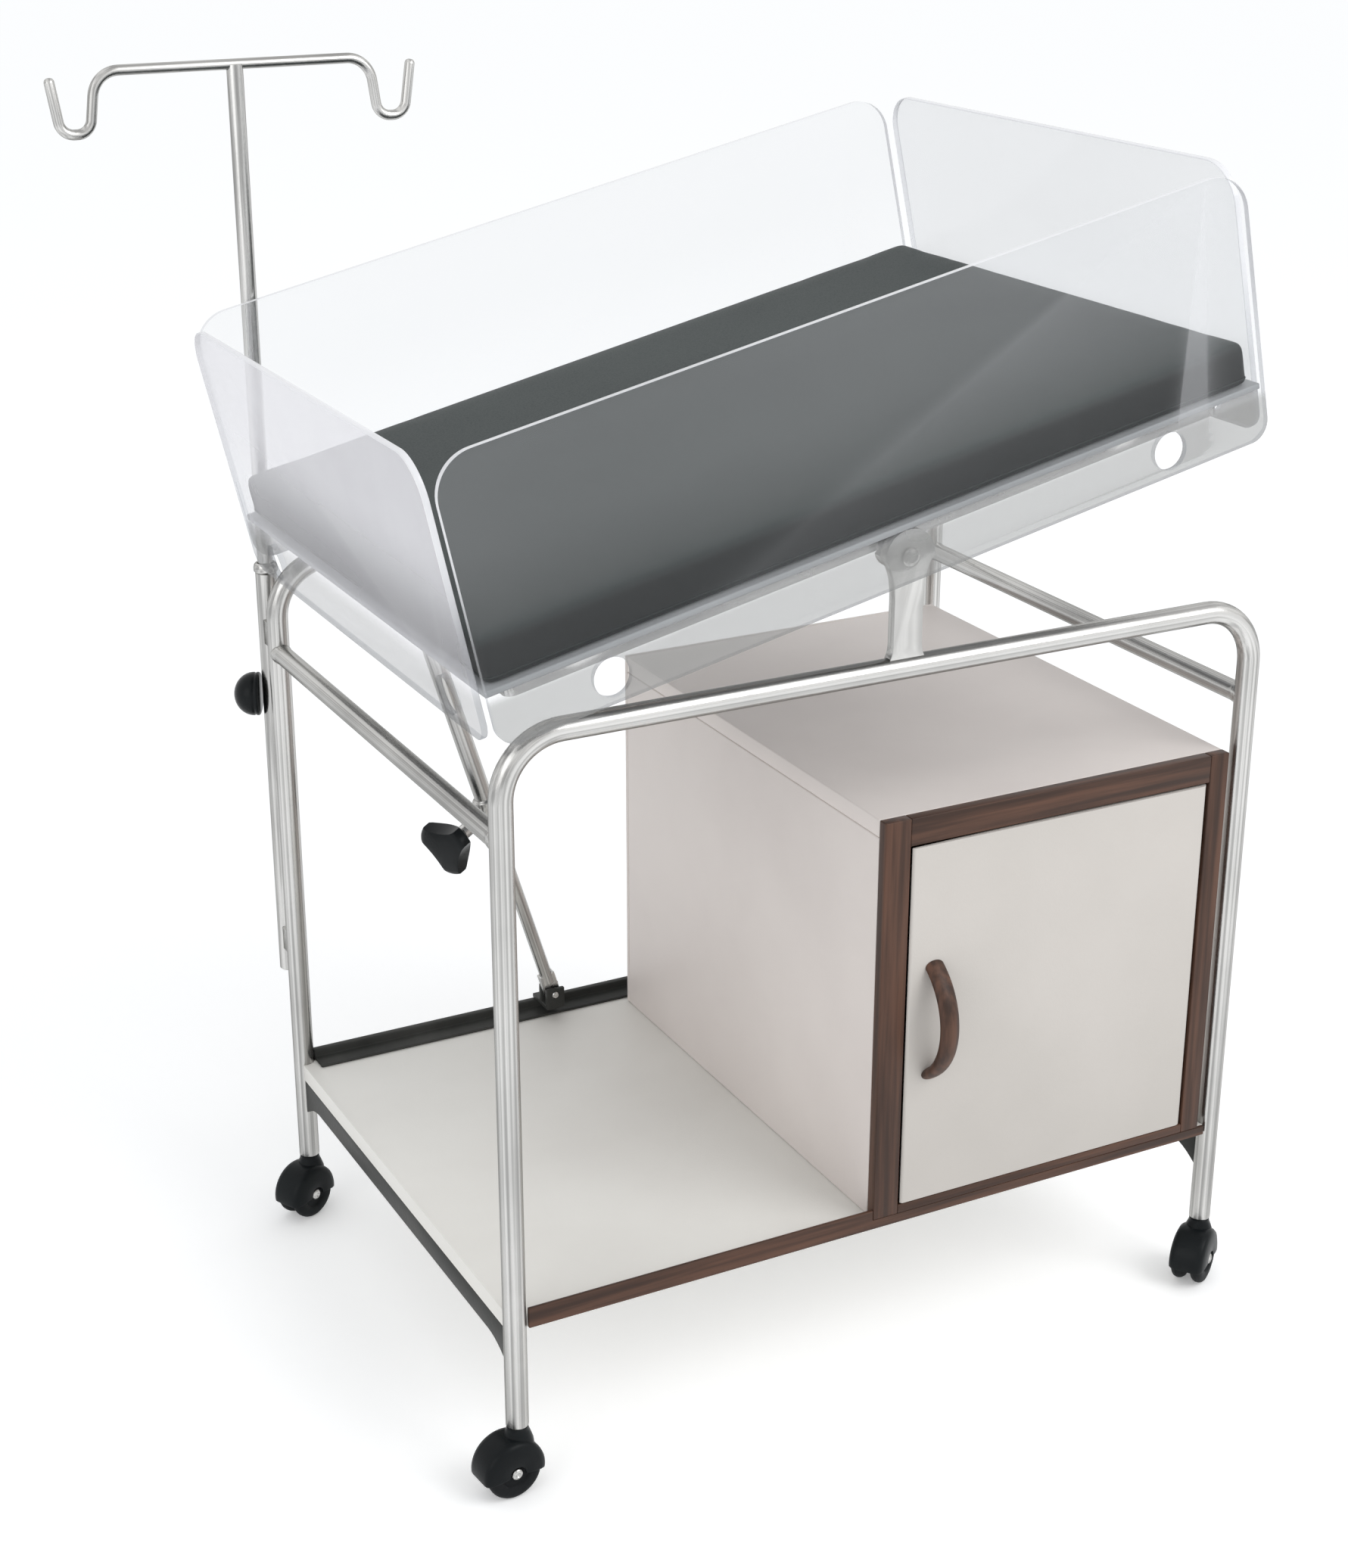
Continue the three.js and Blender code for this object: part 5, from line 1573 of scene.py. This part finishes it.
@dataclass
class DripPole(Assembly):
    """The sliding pole with its hooks, guide and domed clamp knob."""

    pole_radius: float = 0.008
    pole_edge: float = 0.0012
    bar_radius: float = 0.005
    bar_seat: float = 0.0053
    bar_sides: int = 32
    tip_round: float = 0.00425
    tip_faces: int = 5
    tip_angle: float = 60.0
    soft_angle: float = 50.0
    hook_span: float = 0.362
    hook_depth: float = 0.057
    hook_mouth: float = 0.044
    hook_drop: float = 0.004
    hook_splay: float = 0.008
    hook_bend: float = 0.0145
    shoulder_bend: float = 0.026
    guide_radius: float = 0.011
    guide_bore: float = 0.0084
    guide_edge: float = 0.0008
    bush_radius: float = 0.0125
    bush_foot: Span = (0.0012, 0.0015)
    bush_curve: Profile = ((0.0, 0.55), (0.0009, 0.85), (0.0026, 1.0))
    mouth_edge: float = 0.0004
    block_edge: float = 0.001
    knob_stand: float = 0.013
    knob_radius: float = 0.023
    knob_length: float = 0.028
    knob_sides: int = 72
    rim_curve: Profile = (
        (0.004, 0.0),
        (0.001, 0.0008),
        (0.0, 0.002),
        (0.0, 0.0038),
        (0.0008, 0.0046),
        (0.0008, 0.0056),
        (0.0, 0.0064),
    )
    dome_start: float = 0.007
    dome_steps: int = 15

    def __post_init__(self) -> None:
        """Find the pole's middle line and the height of the hook bar's."""
        low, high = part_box("pole_guide")
        self.middle = (low + high) / 2
        self.bar_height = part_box("drip_hook_bar")[1].z - self.bar_radius

    def build(self) -> None:
        """Shape and dress the pole and its guide."""
        self.pole()
        self.hooks()
        self.guide()
        self.bush()
        for node in ("pole_guide_lower_block", "pole_guide_upper_block"):
            self.refined(node, Slot.STEEL, "frame", self.block_edge)
        self.knob()

    def on_line(self, height: float) -> Vector:
        """Return the point of the pole's middle line at a height."""
        return Vector((self.middle.x, self.middle.y, height))

    def pole(self) -> None:
        """Turn the pole and groove its top for the hook bar."""
        foot, r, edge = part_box("drip_pole")[0].z, self.pole_radius, self.pole_edge
        length = self.bar_height - foot
        profile = [(0.0, 0.0), (r - edge, 0.0), (r, edge), (r, length), (0.0, length)]
        piece = Bench.turned("drip_pole_turned", profile, Matrix.Translation(self.on_line(foot)))
        Bench.drill(piece, self.on_line(self.bar_height), CLEAR * r * ALONG, self.bar_seat)
        Bench.smooth(piece)
        self.dress(piece, Slot.STEEL, "drip_pole", "drip_pole")

    def hooks(self) -> None:
        """Bend one bar into a hook at each end."""
        tip = self.hook_span / 2
        shoulder = tip - self.hook_mouth
        half = [
            (shoulder, 0.0),
            (shoulder + self.hook_splay, -self.hook_depth),
            (tip - self.hook_splay, -self.hook_depth),
            (tip, -self.hook_drop),
        ]
        line = [(-x, z) for x, z in reversed(half)] + half
        corners = [Vector((self.middle.x + x, self.middle.y, self.bar_height + z)) for x, z in line]
        bends = [self.hook_bend] * 2 + [self.shoulder_bend] * 2 + [self.hook_bend] * 2
        piece = Bench.swept("drip_hook_bar_bent", corners, bends, self.bar_radius, self.bar_sides)
        Bench.bevel(piece, self.tip_round, self.tip_faces, self.tip_angle)
        Bench.smooth(piece, self.soft_angle)
        self.dress(piece, Slot.STEEL, "drip_pole", "drip_hook_bar")

    def guide(self) -> None:
        """Turn the guide tube."""
        low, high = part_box("pole_guide")
        bore, length = self.guide_bore, high.z - low.z
        profile = [*chamfered(self.guide_radius, 0.0, length, self.guide_edge, bore), (bore, 0.0)]
        piece = Bench.turned("pole_guide_tube", profile, Matrix.Translation(self.on_line(low.z)))
        Bench.smooth(piece)
        self.dress(piece, Slot.STEEL, "frame", "pole_guide")

    def bush(self) -> None:
        """Turn the rounded bush on the guide's mouth."""
        low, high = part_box("pole_guide_bush")
        r, bore, edge, length = self.bush_radius, self.guide_bore, self.mouth_edge, high.z - low.z
        inset, rise = self.bush_foot
        profile = [(bore, 0.0), (r - inset, 0.0), (r, rise)]
        profile += [(r - u, length * v) for u, v in self.bush_curve]
        profile += [(bore + edge, length), (bore, length - edge), (bore, 0.0)]
        piece = Bench.turned("pole_guide_bush_turned", profile, Matrix.Translation(self.on_line(low.z)))
        Bench.smooth(piece)
        self.dress(piece, Slot.STEEL, "frame", "pole_guide_bush")

    def knob(self) -> None:
        """Turn a domed knob with a grip groove behind its rim."""
        turn = joint("pole_knob_turn")
        start, r, crown = self.knob_stand, self.knob_radius, self.knob_length - self.dome_start
        profile = [(0.0, start), *((r - inset, start + h) for inset, h in self.rim_curve)]
        for step in range(1, self.dome_steps):
            angle = math.pi / 2 * step / self.dome_steps
            profile.append((r * math.cos(angle), start + self.dome_start + crown * math.sin(angle)))
        profile.append((0.0, start + self.knob_length))
        place = facing(self.on_line(turn["pos_m"][2]), Vector(turn["axis"]))
        piece = Bench.turned("pole_knob_domed", profile, place, steps=self.knob_sides)
        Bench.smooth(piece, self.soft_angle)
        self.dress(piece, Slot.BLACK, "pole_knob", "pole_knob")


@dataclass
class Castors(Assembly):
    """Four hooded twin-wheel castors: each shape is made once about its axle and copied to every corner."""

    corners: tuple[str, ...] = ("front_left", "front_right", "rear_left", "rear_right")
    trail: float = 0.011
    axle: float = 0.004
    half_width: float = 0.017
    hood_sweep: float = math.radians(196.0)
    hood_steps: int = 44
    hood_edge: float = 0.0005
    hood_edge_faces: int = 2
    hood_edge_angle: float = 50.0
    hood_smooth: float = 38.0
    hood_outside: Profile = (
        (0.0085, 0.0196),
        (0.0180, 0.0194),
        (0.0255, 0.0186),
        (0.0298, 0.0170),
        (0.0318, 0.0144),
        (0.0324, 0.0108),
    )
    hood_inside: Profile = (
        (0.0085, 0.0175),
        (0.0180, 0.0175),
        (0.0256, 0.0173),
        (0.0284, 0.0158),
        (0.0298, 0.0124),
    )
    web_half: float = 0.003
    web_radius: float = 0.0306
    neck: float = 0.0105
    neck_edge: float = 0.0008
    neck_flare: Profile = (
        (0.0, 0.014),
        (0.0165, 0.014),
        (0.0150, 0.026),
        (0.0128, 0.0325),
        (0.0112, 0.0365),
        (0.0105, 0.0385),
    )
    leg_gap: float = 0.0003
    wheel_room: float = 0.0299
    room_sides: int = 96
    cap: float = 0.0058
    cap_sides: int = 32
    cap_start: float = 0.0166
    cap_curve: Profile = (
        (0.0, 0.0),
        (1.0, 0.0),
        (1.0, 0.0012),
        (0.9, 0.0021),
        (0.62, 0.0029),
        (0.42, 0.0031),
        (0.3, 0.0024),
        (0.0, 0.0024),
    )
    wheel_sides: int = 64
    round_smooth: float = 45.0
    wheel_curve: Profile = (
        (0.0044, 0.0040),
        (0.0225, 0.0040),
        (0.0252, 0.0048),
        (0.0270, 0.0068),
        (0.0279, 0.0090),
        (0.0280, 0.0102),
        (0.0276, 0.0104),
        (0.0276, 0.0110),
        (0.0280, 0.0112),
        (0.0278, 0.0128),
        (0.0268, 0.0148),
        (0.0252, 0.0162),
        (0.0228, 0.0170),
        (0.0165, 0.0170),
        (0.0155, 0.0164),
        (0.0142, 0.0146),
        (0.0080, 0.0142),
        (0.0070, 0.0150),
        (0.0044, 0.0152),
        (0.0044, 0.0040),
    )

    def build(self) -> None:
        """Shape each part once, then copy and dress it at every corner."""
        hood, caps = self.hood(), self.caps()
        wheels = {side.name.lower(): self.wheel(side) for side in Side}
        for corner in self.corners:
            place, body = self.place_at(corner), f"{corner}_castor"
            self.dress(Bench.place(Bench.twin(hood, f"{body}_hood"), place), Slot.CASTOR, body, body)
            self.dress(Bench.place(Bench.twin(caps, f"{body}_caps"), place), Slot.STEEL, body)
            for side, wheel in wheels.items():
                node = f"{corner}_{side}_wheel"
                self.dress(Bench.place(Bench.twin(wheel, f"{node}_turned"), place), Slot.RUBBER, node, node)
        for shape in (hood, caps, *wheels.values()):
            bpy.data.objects.remove(shape, do_unlink=True)

    @staticmethod
    def place_at(corner: str) -> Matrix:
        """Find where one castor stands and how it is swivelled.

        Args:
            corner: The corner's name.

        Returns:
            The matrix from the castor's own frame to the row's frame.
        """
        roll = joint(f"{corner}_inner_roll")
        turn = math.atan2(-roll["axis"][0], roll["axis"][1])
        return Matrix.Translation(roll["pos_m"]) @ Matrix.Rotation(turn, 4, "Z")

    def over_axle(self) -> Matrix:
        """Turn a sweep so that it starts below the axle in front and rises over it.

        Returns:
            The matrix from the sweep's frame to the castor's.
        """
        dip = (self.hood_sweep - math.pi) / 2
        start = Vector((math.cos(dip), 0.0, -math.sin(dip)))
        axis = -ACROSS
        return Matrix((start, axis.cross(start), axis)).transposed().to_4x4()

    def hood(self) -> Piece:
        """Spin the hood and its web, and set the axle and the neck in them.

        Returns:
            The castor's body.
        """
        outside, inside, over = self.hood_outside, self.hood_inside, self.over_axle()
        loop = [*((r, -h) for r, h in outside), *reversed(outside), *inside]
        loop += [*((r, -h) for r, h in reversed(inside)), (outside[0][0], -outside[0][1])]
        piece = Bench.turned("castor_hood", loop, over, self.hood_sweep, self.hood_steps)
        Bench.bevel(piece, self.hood_edge, self.hood_edge_faces, self.hood_edge_angle)
        web = [(self.axle, -self.web_half), (self.web_radius, -self.web_half)]
        web += [(self.web_radius, self.web_half), (self.axle, self.web_half), web[0]]
        plate = Bench.turned("web", web, over, self.hood_sweep, self.hood_steps)
        end = self.half_width
        bar = [(0.0, -end), (self.axle, -end), (self.axle, end), (0.0, end)]
        axle = Bench.turned("axle", bar, facing((0, 0, 0), ACROSS))
        Bench.join(piece, [plate, axle, self.neck_under_leg()])
        Bench.smooth(piece, self.hood_smooth)
        return piece

    def neck_under_leg(self) -> Piece:
        """Turn the flared neck up to the leg's end and clear the wheels' room from it.

        Returns:
            The neck.
        """
        leg_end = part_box("front_hoop")[0].z - self.place_at(self.corners[0]).translation.z
        top, r, edge = leg_end - self.leg_gap, self.neck, self.neck_edge
        profile = [*self.neck_flare, (r, top - edge), (r - edge, top), (0.0, top)]
        neck = Bench.turned("neck", profile, Matrix.Translation(self.trail * ALONG))
        Bench.drill(neck, Vector(), CLEAR * r * ACROSS, self.wheel_room, self.room_sides)
        return neck

    def caps(self) -> Piece:
        """Turn a bright domed cap for each end of the axle.

        Returns:
            Both caps in one piece.
        """
        profile = [(self.cap * u, self.cap_start + h) for u, h in self.cap_curve]
        ends = [facing((0, 0, 0), side.value * ACROSS) for side in Side]
        first, second = (Bench.turned("cap", profile, end, steps=self.cap_sides) for end in ends)
        Bench.join(first, [second])
        Bench.smooth(first, self.round_smooth)
        return first

    def wheel(self, side: Side) -> Piece:
        """Turn one wheel with a rounded tread and a dished hub.

        Args:
            side: The side of the castor that it is on.

        Returns:
            The wheel.
        """
        place = facing((0, 0, 0), side.value * ACROSS)
        piece = Bench.turned("wheel", self.wheel_curve, place, steps=self.wheel_sides)
        Bench.smooth(piece, self.round_smooth)
        return piece


@dataclass(frozen=True)
class Lamp:
    """One soft square light."""

    name: str
    place: Point
    size: float
    power: float


@dataclass
class Studio:
    """The camera, the soft light and the pale floor round the object."""

    eye: Point = (-1.115142, -2.13692, 1.518)
    heading: float = math.radians(27.48)
    pitch: float = math.radians(21.84)
    lens: float = 58.67
    sensor: float = 36.0
    lamps: tuple[Lamp, ...] = (
        Lamp("key_light", (1.9, -2.9, 3.1), 2.6, 62.0),
        Lamp("fill_light", (-3.0, -1.2, 1.7), 2.2, 14.0),
    )
    aim: Point = (0.0, 0.0, 0.6)
    sky: Colour = (0.97, 0.985, 1.0, 1.0)
    ambient: float = 0.80
    white: Colour = (1.0, 1.0, 1.0, 1.0)
    floor_size: float = 70.0
    floor_tone: Colour = (0.97, 0.97, 0.97, 1.0)
    floor_roughness: float = 0.9
    floor_lift: float = 0.22

    def build(self) -> None:
        """Set up the camera, the lights, the world and the floor."""
        self.camera()
        self.world()
        for lamp in self.lamps:
            self.hang(lamp)
        self.floor()

    def camera(self) -> None:
        """Stand the camera where the photograph was taken from."""
        bpy.ops.object.camera_add(location=self.eye)
        camera = bpy.context.object
        camera.name = "camera"
        camera.rotation_euler = (math.pi / 2 - self.pitch, 0.0, -self.heading)
        camera.data.sensor_fit = "VERTICAL"
        camera.data.sensor_height = self.sensor
        camera.data.lens = self.lens
        camera.data.dof.use_dof = False
        bpy.context.scene.camera = camera
        bpy.context.scene.view_settings.view_transform = "Standard"

    def hang(self, lamp: Lamp) -> None:
        """Hang one light so that it faces the object.

        Args:
            lamp: The light's name, place, size and power.
        """
        bpy.ops.object.light_add(type="AREA", location=lamp.place)
        light = bpy.context.object
        light.name = lamp.name
        light.rotation_euler = (Vector(lamp.place) - Vector(self.aim)).to_track_quat("Z", "Y").to_euler()
        light.data.shape = "SQUARE"
        light.data.size = lamp.size
        light.data.energy = lamp.power

    def world(self) -> None:
        """Surround the object with an even pale light that the camera sees as white."""
        world = bpy.data.worlds.new("studio")
        bpy.context.scene.world = world
        world.use_nodes = True
        shop = NodeShop("studio_world", world.node_tree)
        soft = shop.wire("ShaderNodeBackground", inputs={"Color": self.sky, "Strength": self.ambient})
        white = shop.wire("ShaderNodeBackground", inputs={"Color": self.white, "Strength": 1.0})
        shop.node("ShaderNodeOutputWorld", inputs={"Surface": shop.mixed(self.seen(shop), soft, white)})

    @staticmethod
    def seen(shop: NodeShop) -> Wire:
        """Tell the rays that show the background: straight, mirrored or through glass.

        Args:
            shop: The shop that the nodes are made in.

        Returns:
            1 for those rays and 0 for others.
        """
        path = shop.node("ShaderNodeLightPath")
        rays = [Wire(shop, path.outputs[f"Is {kind} Ray"]) for kind in ("Camera", "Glossy", "Transmission")]
        return shop.math("MINIMUM", rays[0] + rays[1] + rays[2], 1.0)

    def floor(self) -> None:
        """Lay a plain pale floor that keeps the object's shadow."""
        bpy.ops.mesh.primitive_plane_add(size=self.floor_size)
        floor = Bench.settle("studio_floor")
        shop = NodeShop("studio_floor")
        matt = {"Base_Color": self.floor_tone, "Roughness": self.floor_roughness, "Specular_IOR_Level": 0.0}
        plain = shop.principled(**matt)
        glow = shop.wire("ShaderNodeEmission", inputs={"Strength": self.floor_lift})
        lifted = shop.wire("ShaderNodeAddShader", inputs={0: plain, 1: glow})
        floor.data.materials.append(shop.finish(shop.mixed(self.seen(shop), plain, lifted)))


def main() -> None:
    """Build the studio and every piece of the bassinet, and log each piece's face count."""
    logging.basicConfig(level=logging.INFO, format="%(name)s: %(message)s")
    Studio().build()
    paints = Paints()
    tub = Tub(paints)
    for assembly in (
        TubeFrame(paints),
        Shelf(paints),
        Cabinet(paints),
        Door(paints),
        tub,
        Mattress(paints, tub),
        TiltStrut(paints),
        DripPole(paints),
        Castors(paints),
    ):
        assembly.build()


if __name__ == "__main__":
    main()
